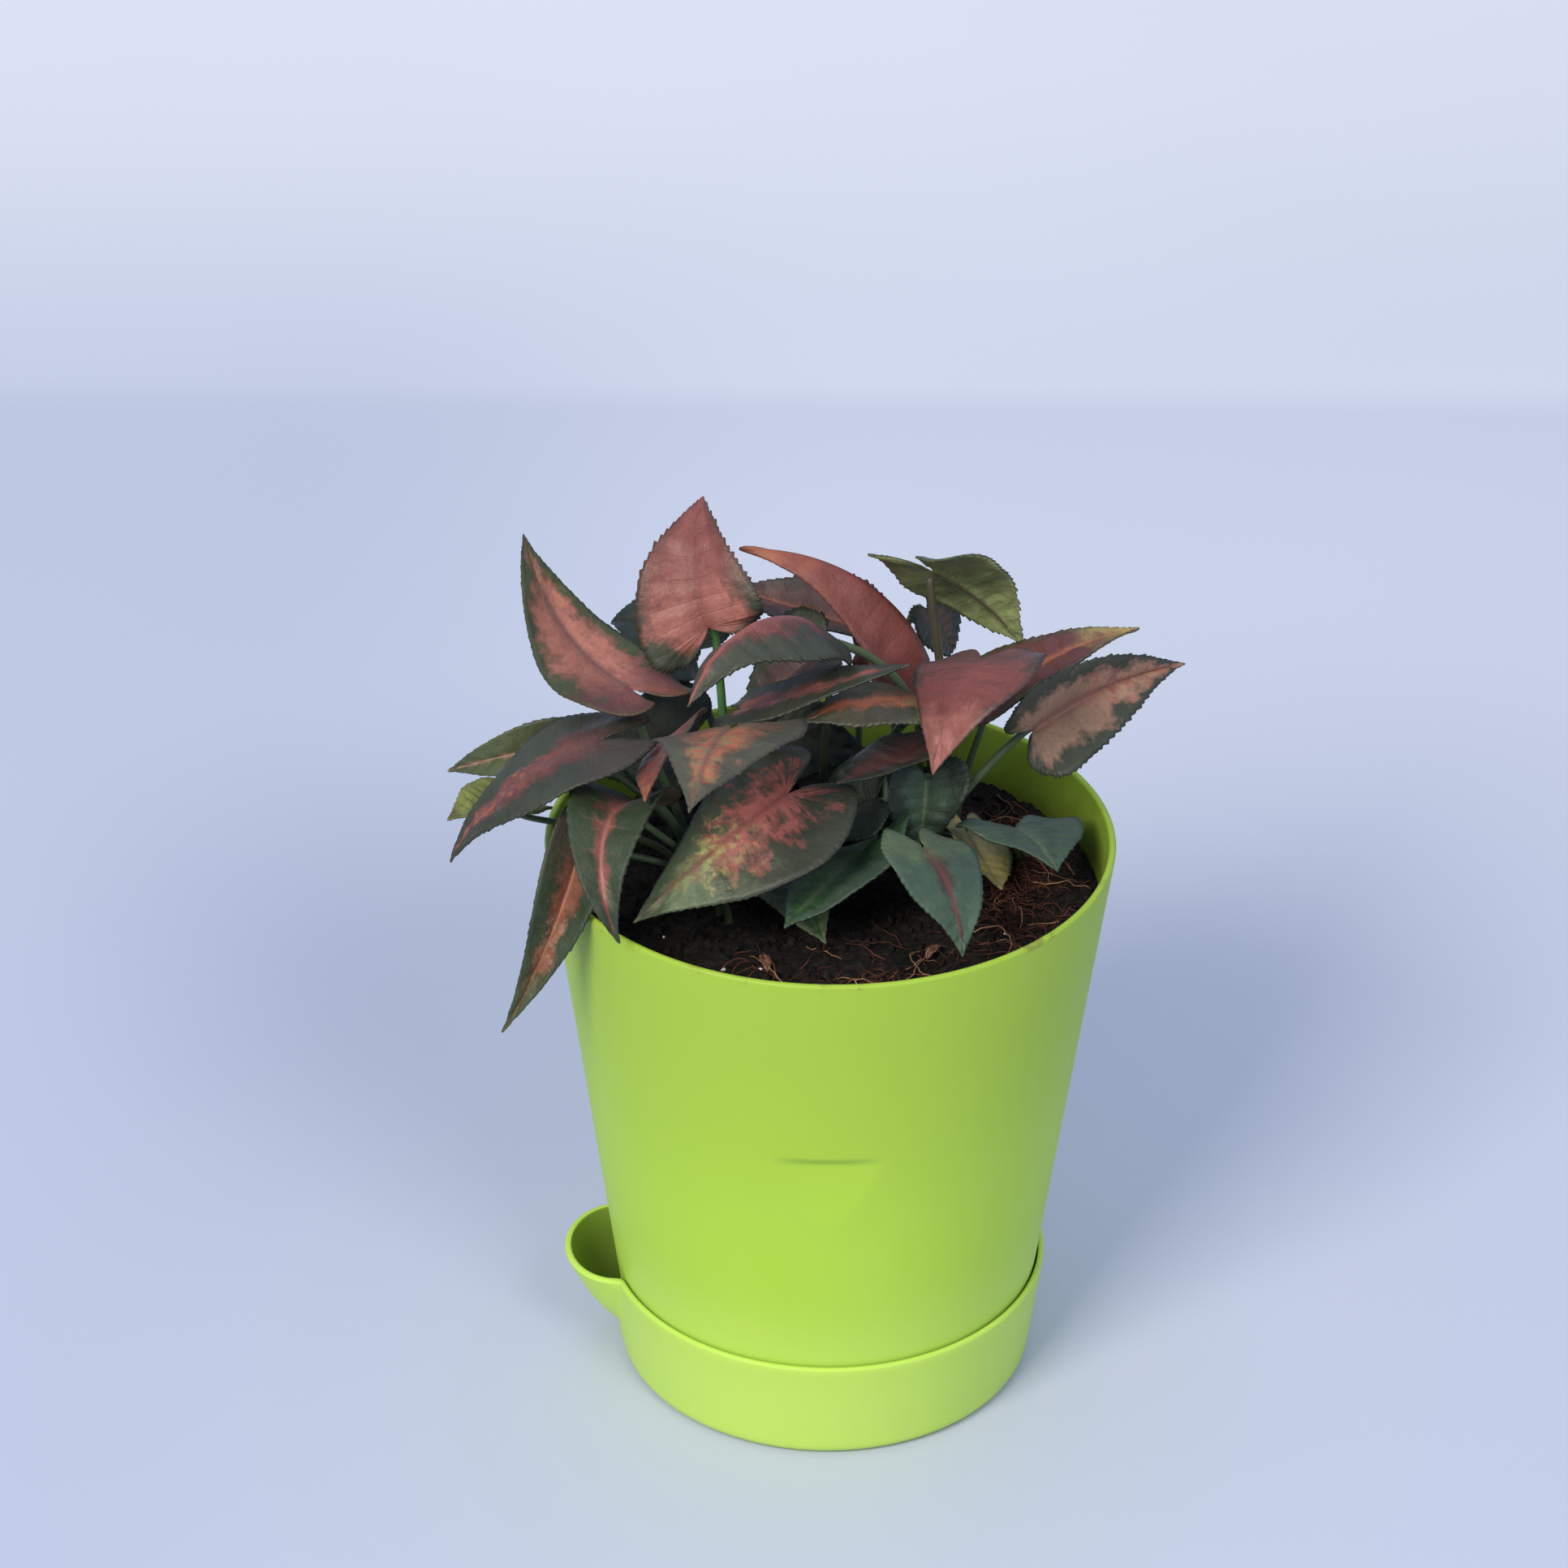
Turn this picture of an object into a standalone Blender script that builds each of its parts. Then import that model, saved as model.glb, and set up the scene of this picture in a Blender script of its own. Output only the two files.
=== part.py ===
"""A young arrowhead vine in a self-watering pot that stands in its saucer.

Units in this file are millimetres and degrees; meshes are scaled to metres when made.
The origin is the centre of the saucer's flat underside, +Z is up, the filler spout is at -X
and the front of the plant faces -Y.
"""
import math
from dataclasses import dataclass

import bmesh
import bpy
import numpy as np
from mathutils import Matrix, Vector

MM = 0.001
GAP = 0.3               # between pieces that lie against each other
CUT_PAST = 1.0          # how far a cutter reaches beyond what it cuts
WELD = 0.00001          # metres

# Pot and saucer walls lean outward alike, so that they nest
POT_TOP = 134.5
POT_TOP_RADIUS = 62.5
LEAN = 0.1285
POT_WALL = 1.6
POT_FLOOR_LOW = 8.3
POT_CORNER = 1.0
CHAMFER = 0.4
FLOOR_THICK = 1.8
CUP_RADIUS = 10.0
CUP_LOW = 2.1
DRAIN_RADIUS = 2.5
DRAIN_RING = 22.0
DRAIN_COUNT = 8
SLOT_WIDTH = 3.0
SLOT_COUNT = 4
SLOT_LEDGE = (0.2, 0.6)         # wall kept below and above a slot

# Shallow flat thumb recess in the front wall
RECESS_TOP = 86.5
RECESS_DEPTH = 1.0
RECESS_HEIGHT = 19.0
RECESS_TURN = -92.0
RECESS_BOX = 40.0

SAUCER_TOP = 26.3
SAUCER_WALL = 1.5
SAUCER_CORNER = 2.9
SAUCER_INNER_CORNER = 2.0
RIB_RADIUS = 34.0
RIB_THICK = 2.0
RIB_GAP_WIDTH = 12.0

# Filler spout: a leaning half funnel on the saucer's wall
SPOUT_Y = -2.0
SPOUT_LOW = 8.0
SPOUT_HALF_WIDTH = (7.0, 16.0)
SPOUT_CENTRE_X = (-42.0, -47.7)
SPOUT_FLATTEN = 0.8
SPOUT_WALL = 1.7

# Soil surface and the holes for the stalks
SOIL_TOP = 120.8
SOIL_BUMP = 0.8
HOLE_DEPTH = 8.0
HOLE_CLEARANCE = 0.5
SOIL_GAP = 0.5
PLUG_CHAMFER = 0.4

# Stalks: where they meet the blade, measured along the midrib and below it
STALK_RADIUS = 1.0
SMALL_STALK_RADIUS = 0.8
STALK_TAPER = 0.35
STALK_SAMPLES = 5
STALK_NEAR = (-1.5, -2.2)
STALK_END = (2.0, -0.45)
STALK_BACK = (0.5, 0.7, 0.35)   # back, down from the blade and straight down, for each mm of "back"

# Leaf blades
BLADE_THICK = 0.7
BLADE_ROWS = 10
BLADE_COLUMNS = 2
WAVE_HEIGHT = 0.7               # on leaves of full width
FULL_WIDTH = 30.0
WAVES_PER_SIDE = 3.5
LEAF_PHASE = 1.7                # shift of the waves from leaf to leaf
SIDE_PHASE = 1.1                # and from the right half to the left
SMALL_LEAF = 24.0               # narrower leaves have thinner stalks, shorter ones fewer rows

RUSSET = (0.30, 0.12, 0.10)
LIME = (0.42, 0.72, 0.10)
PEAT = (0.02, 0.013, 0.01)

ROUND_STEPS = 64
SPOUT_SIDES = 40
SOIL_STEPS = 48
SOIL_RINGS = 5


@dataclass
class Leaf:
    """One leaf: where its blade joins the stalk, how the blade lies, and where the stalk rises."""
    joint: tuple
    aim: tuple              # heading from +X, rise above level, roll about the midrib
    size: tuple             # length from joint to tip, width, length of the back lobes
    droop: float            # turn of the midrib from joint to tip
    root: tuple             # stalk's place on the soil
    up: float               # how far the stalk keeps its upright start
    back: float             # how far it comes in from behind the blade
    folds: tuple = (0, 0)   # lift of the left and right half
    sweep: float = 0
    twist: float = 0
    slant: float = 0        # how much one half runs ahead of the other
    waist: float = 0        # hollow in the sides between lobes and tip


LEAVES = [
    Leaf(joint=(-44, 2, 170), aim=(142, 6, 7), size=(43, 31, 12), droop=-64, folds=(-1, -6),
         sweep=-5, twist=-14, slant=-8, root=(-29, 0), up=12, back=12),
    Leaf(joint=(-27, 10, 180), aim=(163, 62, -86), size=(32, 29, 4), droop=79, folds=(18, 4),
         sweep=-37, twist=-13, slant=-3, root=(-22, 9), up=9, back=4),
    Leaf(joint=(-31, 30, 164), aim=(157, 35, -21), size=(23, 27, 4), droop=71, folds=(23, 28),
         sweep=7, twist=-6, slant=-3, root=(-20, 21), up=13, back=8),
    Leaf(joint=(-50, -15, 166), aim=(195, -12, 2), size=(43, 30, 12), droop=53, folds=(-1, -4),
         sweep=-6, twist=-10, slant=10, root=(-28, -6), up=15, back=14),
    Leaf(joint=(-59, 11, 150), aim=(184, -8, -58), size=(30, 14, 8), droop=48, folds=(25, 31),
         sweep=6, root=(-31, 8), up=12, back=8),
    Leaf(joint=(-69, -3, 144), aim=(224, 21, 0), size=(20, 18, 6), droop=20, folds=(8, 10), sweep=8,
         twist=-7, slant=-3, root=(-33, 2), up=15, back=4),
    Leaf(joint=(-54, -27, 144), aim=(243, -54, -25), size=(42, 17, 11), droop=26, folds=(44, 38),
         sweep=-16, twist=-18, root=(-22, -16), up=16, back=5),
    Leaf(joint=(-43, -22, 155), aim=(245, 26, 22), size=(41, 22, 11), droop=126, folds=(7, 36),
         sweep=-12, twist=-20, slant=8, root=(-24, -12), up=13, back=4),
    Leaf(joint=(-33, -13, 167), aim=(240, -1, 47), size=(24, 17, 6), droop=34, sweep=7, twist=-11,
         root=(-25, -1), up=6, back=9),
    Leaf(joint=(-21, -34, 180), aim=(257, 26, 6), size=(38, 32, 10), droop=50, folds=(2, -10),
         sweep=-6, twist=-22, slant=4, root=(-12, 16), up=49, back=8),
    Leaf(joint=(-10, -18, 155), aim=(219, -18, -4), size=(43, 38, 13), droop=23, folds=(-11, -14),
         sweep=-12, twist=-9, slant=12, root=(-14, 3), up=18, back=4),
    Leaf(joint=(-6, -2, 189), aim=(216, 29, 14), size=(40, 33, 9), droop=85, folds=(-27, -34),
         sweep=6, root=(24, 18), up=57, back=5),
    Leaf(joint=(-19, -4, 168), aim=(338, 28, -1), size=(42, 20, 5), droop=4, twist=17,
         root=(-20, 3), up=35, back=7),
    Leaf(joint=(21, -8, 172), aim=(183, 11, 17), size=(29, 26, 8), droop=35, folds=(-2, -7),
         sweep=6, twist=-39, slant=9, root=(11, 21), up=43, back=4),
    Leaf(joint=(22, 24, 165), aim=(177, 69, 1), size=(53, 43, 10), droop=75, folds=(-42, -59),
         waist=0.3, root=(20, 20), up=16, back=3),
    Leaf(joint=(4, 46, 162), aim=(154, 5, -10), size=(31, 22, 8), droop=7, folds=(26, 25), sweep=-6,
         twist=-26, root=(6, 30), up=10, back=6),
    Leaf(joint=(23, 25, 186), aim=(25, -34, -36), size=(28, 31, 12), droop=32, folds=(9, 1),
         sweep=-5, twist=-20, slant=3, root=(27, 22), up=32, back=2),
    Leaf(joint=(22, 38, 170), aim=(353, -51, 30), size=(14, 17, 4), droop=43, folds=(13, 12),
         twist=6, slant=-7, root=(14, 28), up=10, back=7),
    Leaf(joint=(34, 12, 162), aim=(16, 34, -1), size=(37, 22, 9), droop=28, folds=(10, 10),
         twist=12, slant=-3, root=(28, 17), up=18, back=4),
    Leaf(joint=(31, -13, 185), aim=(244, 0, -2), size=(30, 29, 8), droop=76, folds=(12, -22),
         root=(22, 11), up=58, back=6),
    Leaf(joint=(44, 2, 160), aim=(30, 23, 66), size=(42, 26, 6), droop=24, folds=(42, 36),
         sweep=-31, twist=-11, root=(17, 0), up=8, back=12),
    Leaf(joint=(21, 3, 146), aim=(261, -54, -8), size=(17, 20, 4), droop=48, folds=(26, 28),
         twist=-4, slant=-9, root=(21, 4), up=9, back=5),
    Leaf(joint=(20, -28, 147), aim=(307, -21, -21), size=(25, 27, 7), droop=45, sweep=-5, twist=19,
         slant=-4, root=(22, -11), up=11, back=8),
    Leaf(joint=(8, -11, 138), aim=(230, -12, 32), size=(32, 29, 8), droop=0, folds=(4, -1),
         sweep=13, twist=-47, root=(4, 4), up=13, back=4),
    Leaf(joint=(-10, -5, 127), aim=(289, -6, -2), size=(27, 19, 7), droop=-5, folds=(9, 9),
         twist=10, root=(-10, 2), up=8, back=3),
    Leaf(joint=(31, 9, 129), aim=(290, -13, -34), size=(22, 18, 8), droop=-10, folds=(7, 7),
         sweep=-16, twist=16, slant=3, root=(24, 14), up=8, back=3),
    Leaf(joint=(41, 4, 134), aim=(298, 11, -10), size=(20, 28, 6), droop=24, folds=(4, 3), sweep=-4,
         slant=7, root=(42, 11), up=11, back=3),
    Leaf(joint=(19, -2, 158), aim=(231, 0, 17), size=(28, 20, 8), droop=-11, folds=(6, 5),
         twist=-18, slant=-4, root=(13, 16), up=32, back=3),
    Leaf(joint=(9, -6, 147), aim=(170, -30, -30), size=(21, 22, 4), droop=34, folds=(12, 15),
         sweep=5, root=(9, 3), up=45, back=2),
    Leaf(joint=(-31, 21, 147), aim=(185, -12, -60), size=(30, 25, 6), droop=25, folds=(5, 5),
         root=(-23, 28), up=12, back=4),
    Leaf(joint=(-3, 12, 173), aim=(198, -28, -12), size=(32, 24, 4), droop=75, folds=(18, 14),
         slant=7, root=(-2, 17), up=30, back=3),
    Leaf(joint=(-14, 27, 145), aim=(355, -10, 55), size=(24, 24, 6), droop=20, folds=(6, 6),
         root=(-10, 33), up=10, back=4),
]

# Right margin of a flat blade from the notch round the lobe to the tip: length 1, half width 1
MARGIN = np.array([
    (0.00, 0.00), (-0.13, 0.10), (-0.26, 0.27), (-0.33, 0.48), (-0.29, 0.70), (-0.16, 0.90),
    (0.02, 1.00), (0.18, 0.97), (0.36, 0.81), (0.54, 0.58), (0.72, 0.34), (0.88, 0.13),
    (1.00, 0.00)])
MARGIN_LOBE = 0.33
NOTCH_START = 0.07
MIDRIB_START = 0.46


def clear_scene():
    for item in list(bpy.data.objects):
        bpy.data.objects.remove(item, do_unlink=True)


def new_collection(name):
    group = bpy.data.collections.new(name)
    bpy.context.scene.collection.children.link(group)
    return group


def material(name, colour, roughness):
    mat = bpy.data.materials.new(name)
    mat.use_nodes = True
    shader = mat.node_tree.nodes["Principled BSDF"]
    shader.inputs["Base Color"].default_value = (*colour, 1.0)
    shader.inputs["Roughness"].default_value = roughness
    shader.inputs["Metallic"].default_value = 0.0
    mat.diffuse_color = (*colour, 1.0)
    return mat


def add_object(name, mesh, group, mat=None):
    item = bpy.data.objects.new(name, mesh)
    group.objects.link(item)
    if mat:
        mesh.materials.append(mat)
    return item


def hide_cutter(item):
    item.hide_render = True
    item.display_type = "WIRE"


def turned(name, profile, group, mat=None, steps=ROUND_STEPS):
    """A profile of (radius, height) points, first and last on the axis, turned about Z."""
    mesh = bpy.data.meshes.new(name)
    points = [(radius * MM, 0.0, height * MM) for radius, height in profile]
    edges = [(i, i + 1) for i in range(len(points) - 1)]
    mesh.from_pydata(points, edges, [])
    item = add_object(name, mesh, group, mat)
    screw = item.modifiers.new("Turn", "SCREW")
    screw.axis = "Z"
    screw.steps = steps
    screw.render_steps = steps
    screw.use_merge_vertices = True
    screw.merge_threshold = WELD
    screw.use_smooth_shade = True
    return item


def boolean(item, operation, operand, solver="EXACT"):
    """Join or cut with one object or with a whole collection."""
    step = item.modifiers.new(operation.title(), "BOOLEAN")
    step.operation = operation
    step.solver = solver
    if isinstance(operand, bpy.types.Collection):
        step.operand_type = "COLLECTION"
        step.collection = operand
    else:
        step.object = operand


def arc(centre, radius, start, end, count):
    """Points (radius, height) round a centre from one angle to another."""
    angles = np.radians(np.linspace(start, end, count))
    return [(centre[0] + radius * math.cos(a), centre[1] + radius * math.sin(a)) for a in angles]


def pot_radius(height):
    """Outer radius of the pot's wall at a height."""
    return POT_TOP_RADIUS - (POT_TOP - height) * LEAN


def saucer_inner(height):
    """Inner radius of the saucer's wall, which clears the pot by the gap."""
    return pot_radius(height) + GAP


def box_cutter(name, size, place, group):
    """A box of the given size, moved and turned by a matrix whose shift is in millimetres."""
    mesh = bpy.data.meshes.new(name)
    shape = bmesh.new()
    bmesh.ops.create_cube(shape, size=1.0)
    bmesh.ops.scale(shape, vec=size, verts=shape.verts)
    bmesh.ops.transform(shape, matrix=place, verts=shape.verts)
    bmesh.ops.scale(shape, vec=(MM, MM, MM), verts=shape.verts)
    shape.to_mesh(mesh)
    shape.free()
    item = add_object(name, mesh, group)
    hide_cutter(item)
    return item


def round_cutter(name, radius, low, high, x, y, group, sides=12):
    mesh = bpy.data.meshes.new(name)
    shape = bmesh.new()
    bmesh.ops.create_cone(shape, cap_ends=True, segments=sides, radius1=radius * MM,
                          radius2=radius * MM, depth=(high - low) * MM)
    bmesh.ops.translate(shape, vec=(x * MM, y * MM, (low + high) / 2 * MM), verts=shape.verts)
    shape.to_mesh(mesh)
    shape.free()
    item = add_object(name, mesh, group)
    hide_cutter(item)
    return item


def spout_cone(name, shrink, low, high, group):
    """The spout's leaning funnel between two heights, smaller than the outside by a wall."""
    mesh = bpy.data.meshes.new(name)
    shape = bmesh.new()
    bmesh.ops.create_cone(shape, cap_ends=True, segments=SPOUT_SIDES, radius1=1.0, radius2=1.0, depth=1.0)
    for vert in shape.verts:
        height = low if vert.co.z < 0 else high
        t = (height - SPOUT_LOW) / (SAUCER_TOP - SPOUT_LOW)
        half = SPOUT_HALF_WIDTH[0] + t * (SPOUT_HALF_WIDTH[1] - SPOUT_HALF_WIDTH[0])
        centre = SPOUT_CENTRE_X[0] + t * (SPOUT_CENTRE_X[1] - SPOUT_CENTRE_X[0])
        x = centre + vert.co.x * (half * SPOUT_FLATTEN - shrink)
        y = SPOUT_Y + vert.co.y * (half - shrink)
        vert.co = Vector((x, y, height)) * MM
    shape.to_mesh(mesh)
    shape.free()
    item = add_object(name, mesh, group)
    hide_cutter(item)
    return item


def pot_profile():
    """Half section of the pot: inside floor, rim, outside wall and the cup under its middle."""
    floor_top = POT_FLOOR_LOW + FLOOR_THICK
    cup_floor = CUP_LOW + FLOOR_THICK
    cup_inner = CUP_RADIUS - POT_WALL
    wall_foot = pot_radius(floor_top) - POT_WALL
    edge = POT_WALL / 2
    inside = [(0, cup_floor), (cup_inner - CHAMFER, cup_floor), (cup_inner, floor_top),
              (wall_foot - POT_CORNER, floor_top), (wall_foot, floor_top + POT_CORNER)]
    rim = arc((POT_TOP_RADIUS - edge, POT_TOP - edge), edge, 180, 0, 5)
    corner = POT_FLOOR_LOW + POT_CORNER
    outside = [(pot_radius(RECESS_TOP), RECESS_TOP), (pot_radius(corner), corner),
               (pot_radius(POT_FLOOR_LOW) - POT_CORNER, POT_FLOOR_LOW), (CUP_RADIUS, POT_FLOOR_LOW),
               (CUP_RADIUS - CHAMFER, CUP_LOW), (0, CUP_LOW)]
    return inside + rim + outside


def cut_drains(group):
    """Round holes in the pot's floor and slots in the wall of its cup."""
    for i in range(DRAIN_COUNT):
        turn = math.tau * (i + 0.5) / DRAIN_COUNT
        round_cutter(f"drain_{i}", DRAIN_RADIUS, POT_FLOOR_LOW - CUT_PAST,
                     POT_FLOOR_LOW + FLOOR_THICK + CUT_PAST,
                     DRAIN_RING * math.cos(turn), DRAIN_RING * math.sin(turn), group)
    low = CUP_LOW + FLOOR_THICK + SLOT_LEDGE[0]
    high = POT_FLOOR_LOW - SLOT_LEDGE[1]
    for i in range(SLOT_COUNT):
        turn = Matrix.Rotation(math.tau * i / SLOT_COUNT, 4, "Z")
        shift = Matrix.Translation((CUP_RADIUS - POT_WALL / 2, 0, (low + high) / 2))
        box_cutter(f"slot_{i}", (4 * POT_WALL, SLOT_WIDTH, high - low), turn @ shift, group)


def cut_recess(group):
    """A flat cut into the leaning wall, deepest at its top edge."""
    wall = pot_radius(RECESS_TOP) - RECESS_DEPTH
    foot = pot_radius(RECESS_TOP - RECESS_HEIGHT)
    lean = math.atan2(wall - foot, RECESS_HEIGHT)
    turn = Matrix.Rotation(math.radians(RECESS_TURN), 4, "Z")
    hinge = Matrix.Translation((wall, 0, RECESS_TOP)) @ Matrix.Rotation(lean, 4, "Y")
    corner = Matrix.Translation((RECESS_BOX / 2, 0, -RECESS_BOX / 2))
    box_cutter("recess", (RECESS_BOX, RECESS_BOX, RECESS_BOX), turn @ hinge @ corner, group)


def make_pot(group, cutters, mat):
    pot = turned("pot", pot_profile(), group, mat)
    holes = bpy.data.collections.new("pot_cutters")
    cutters.children.link(holes)
    cut_drains(holes)
    cut_recess(holes)
    boolean(pot, "DIFFERENCE", holes)


def saucer_hollow_profile():
    """Half section of what the saucer holds, with room left for the ring of ribs."""
    wall_top = saucer_inner(SAUCER_TOP)
    top = SAUCER_TOP + CUT_PAST
    corner = FLOOR_THICK + SAUCER_INNER_CORNER
    rib = POT_FLOOR_LOW - GAP
    rib_out = RIB_RADIUS + RIB_THICK / 2
    rib_in = RIB_RADIUS - RIB_THICK / 2
    return [(0, top), (wall_top + CHAMFER, top), (wall_top + CHAMFER, SAUCER_TOP),
            (wall_top, SAUCER_TOP - CHAMFER), (saucer_inner(corner), corner),
            (saucer_inner(FLOOR_THICK) - SAUCER_INNER_CORNER, FLOOR_THICK),
            (rib_out, FLOOR_THICK), (rib_out, rib), (rib_in, rib), (rib_in, FLOOR_THICK), (0, FLOOR_THICK)]


def make_saucer(group, cutters, mat):
    wall_top = saucer_inner(SAUCER_TOP) + SAUCER_WALL
    base = saucer_inner(SAUCER_CORNER) + SAUCER_WALL - SAUCER_CORNER
    outer = [(0, SAUCER_TOP), (wall_top - CHAMFER, SAUCER_TOP), (wall_top, SAUCER_TOP - CHAMFER)]
    outer += arc((base, SAUCER_CORNER), SAUCER_CORNER, 0, -90, 4)
    outer += [(0, 0)]
    saucer = turned("saucer", outer, group, mat)
    shell = spout_cone("spout_outer", 0.0, SPOUT_LOW, SAUCER_TOP, cutters)
    boolean(saucer, "UNION", shell)

    hollow = bpy.data.collections.new("saucer_cutters")
    cutters.children.link(hollow)
    cavity = turned("saucer_hollow", saucer_hollow_profile(), hollow)
    hide_cutter(cavity)
    spout_cone("spout_hollow", SPOUT_WALL, SPOUT_LOW + SPOUT_WALL, SAUCER_TOP + CUT_PAST, hollow)
    rib = POT_FLOOR_LOW - GAP
    length = 2 * (RIB_RADIUS + RIB_THICK + CUT_PAST)
    for i in range(2):
        turn = Matrix.Rotation(math.pi / 4 + math.pi / 2 * i, 4, "Z")
        shift = Matrix.Translation((0, 0, (FLOOR_THICK + rib + CUT_PAST) / 2))
        size = (length, RIB_GAP_WIDTH, rib + CUT_PAST - FLOOR_THICK)
        box_cutter(f"rib_gap_{i}", size, turn @ shift, hollow)
    boolean(saucer, "DIFFERENCE", hollow)


def soil_height(x, y):
    """Gentle bumps of the soil's surface."""
    wave = math.sin(0.13 * x + 1.0) * math.cos(0.11 * y - 0.4) + 0.6 * math.sin(0.21 * y + 0.17 * x)
    return SOIL_TOP + SOIL_BUMP * wave / 1.6


def soil_profile():
    """Half section of the soil, which fills the pot and its cup."""
    floor = POT_FLOOR_LOW + FLOOR_THICK + GAP
    cup_floor = CUP_LOW + FLOOR_THICK + GAP
    plug = CUP_RADIUS - POT_WALL - SOIL_GAP
    side_top = pot_radius(SOIL_TOP) - POT_WALL - SOIL_GAP
    side_low = pot_radius(floor + POT_CORNER) - POT_WALL - SOIL_GAP
    top = [(side_top * k / SOIL_RINGS, SOIL_TOP) for k in range(SOIL_RINGS + 1)]
    return top + [(side_low, floor + POT_CORNER), (side_low - POT_CORNER, floor), (plug, floor),
                  (plug - PLUG_CHAMFER, cup_floor), (0, cup_floor)]


def make_soil(group, cutters, mat):
    soil = turned("soil", soil_profile(), group, mat, steps=SOIL_STEPS)
    evaluated = soil.evaluated_get(bpy.context.evaluated_depsgraph_get())
    mesh = bpy.data.meshes.new_from_object(evaluated)
    soil.modifiers.clear()
    rim = pot_radius(SOIL_TOP) - POT_WALL - SOIL_GAP - SOIL_BUMP
    for vert in mesh.vertices:
        if vert.co.z > (SOIL_TOP - SOIL_BUMP) * MM and vert.co.xy.length < rim * MM:
            vert.co.z = soil_height(vert.co.x / MM, vert.co.y / MM) * MM
    soil.data = mesh
    holes = bpy.data.collections.new("stalk_holes")
    cutters.children.link(holes)
    low = SOIL_TOP - HOLE_DEPTH - GAP
    high = SOIL_TOP + SOIL_BUMP + CUT_PAST
    for i, leaf in enumerate(LEAVES, start=1):
        radius = stalk_radius(leaf) + HOLE_CLEARANCE
        round_cutter(f"hole_{i:02d}", radius, low, high, *leaf.root, holes, sides=8)
    boolean(soil, "DIFFERENCE", holes)


def curve_through(points, t):
    """Smooth curve through the rows of points, with t running from 0 to 1."""
    count = len(points) - 1
    ends = np.vstack([2 * points[0] - points[1], points, 2 * points[-1] - points[-2]])
    place = min(max(t * count, 0.0), count - 1e-9)
    k = int(place)
    f = place - k
    a, b, c, d = ends[k:k + 4]
    return 0.5 * (2 * b + (c - a) * f + (2 * a - 5 * b + 4 * c - d) * f ** 2
                  + (3 * b - a - 3 * c + d) * f ** 3)


def leaf_axes(leaf):
    """Midrib direction, left side and upper normal where the blade meets its stalk."""
    heading, rise, roll = (math.radians(v) for v in leaf.aim)
    along = np.array([math.cos(heading) * math.cos(rise), math.sin(heading) * math.cos(rise), math.sin(rise)])
    level = np.array([-math.sin(heading), math.cos(heading), 0.0])
    side = math.cos(roll) * level + math.sin(roll) * np.cross(along, level)
    return along, side, np.cross(along, side)


def flat_blade(u, v, leaf):
    """Point of the flat blade: u runs along the margin from notch to tip, v from right to left."""
    length, width, lobe = leaf.size
    edge = curve_through(MARGIN, u)
    edge_x = edge[0] * length if edge[0] > 0 else edge[0] / MARGIN_LOBE * lobe
    hollow = 1 - leaf.waist * math.sin(math.pi * min(max(edge[0], 0.0), 1.0) ** 0.8)
    edge_y = edge[1] * width / 2 * hollow
    midrib = max((u - MIDRIB_START) / (1 - MIDRIB_START), 0.0) ** 1.15 * length
    return (1 - abs(v)) * midrib + abs(v) * edge_x, v * edge_y


def bent_blade(x, y, lift, leaf):
    """Fold, arch, sweep and twist a point of the flat blade, then set it at its joint."""
    length = leaf.size[0]
    x += math.tan(math.radians(leaf.slant)) * y
    fold = math.radians(leaf.folds[0] if y > 0 else leaf.folds[1])
    side = y * math.cos(fold)
    rise = abs(y) * math.sin(fold) + lift
    roll = math.radians(leaf.twist) * x / length
    side, rise = side * math.cos(roll) - rise * math.sin(roll), side * math.sin(roll) + rise * math.cos(roll)
    curl = -math.radians(leaf.droop) / length + 1e-9
    forward = math.sin(curl * x) / curl - rise * math.sin(curl * x)
    height = (1 - math.cos(curl * x)) / curl + rise * math.cos(curl * x)
    turn = math.radians(leaf.sweep) / length + 1e-9
    bend = turn * forward
    along, left, normal = leaf_axes(leaf)
    local_x = math.sin(bend) / turn - side * math.sin(bend)
    local_y = (1 - math.cos(bend)) / turn + side * math.cos(bend)
    return np.array(leaf.joint) + local_x * along + local_y * left + height * normal


def blade_point(u, v, leaf, number):
    """Point of the finished blade, with its waved margin."""
    x, y = flat_blade(u, v, leaf)
    size = min(leaf.size[1] / FULL_WIDTH, 1.0)
    phase = LEAF_PHASE * number + (SIDE_PHASE if v > 0 else 0.0)
    wave = math.sin(math.tau * WAVES_PER_SIDE * u + phase)
    lift = WAVE_HEIGHT * size * v * v * math.sin(math.pi * u) * wave
    return bent_blade(x, y, lift, leaf)


def stalk_radius(leaf):
    return STALK_RADIUS if leaf.size[1] > SMALL_LEAF else SMALL_STALK_RADIUS


def stalk_line(leaf):
    """Centre line of the stalk from the bottom of its hole to the underside of the midrib."""
    along, _, normal = leaf_axes(leaf)
    up = np.array([0, 0, 1.0])
    joint = np.array(leaf.joint, float)
    near = joint + STALK_NEAR[0] * along + STALK_NEAR[1] * normal
    start = np.array([*leaf.root, SOIL_TOP + SOIL_BUMP])
    rise = start + leaf.up * up
    back, below, down = STALK_BACK
    arrive = near - leaf.back * (back * along + below * normal + down * up)
    bezier = [(1 - t) ** 3 * start + 3 * t * (1 - t) ** 2 * rise
              + 3 * t * t * (1 - t) * arrive + t ** 3 * near
              for t in np.linspace(0, 1, STALK_SAMPLES)]
    foot = start - (SOIL_BUMP + HOLE_DEPTH) * up
    return [foot] + bezier + [joint + STALK_END[0] * along + STALK_END[1] * normal]


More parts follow.
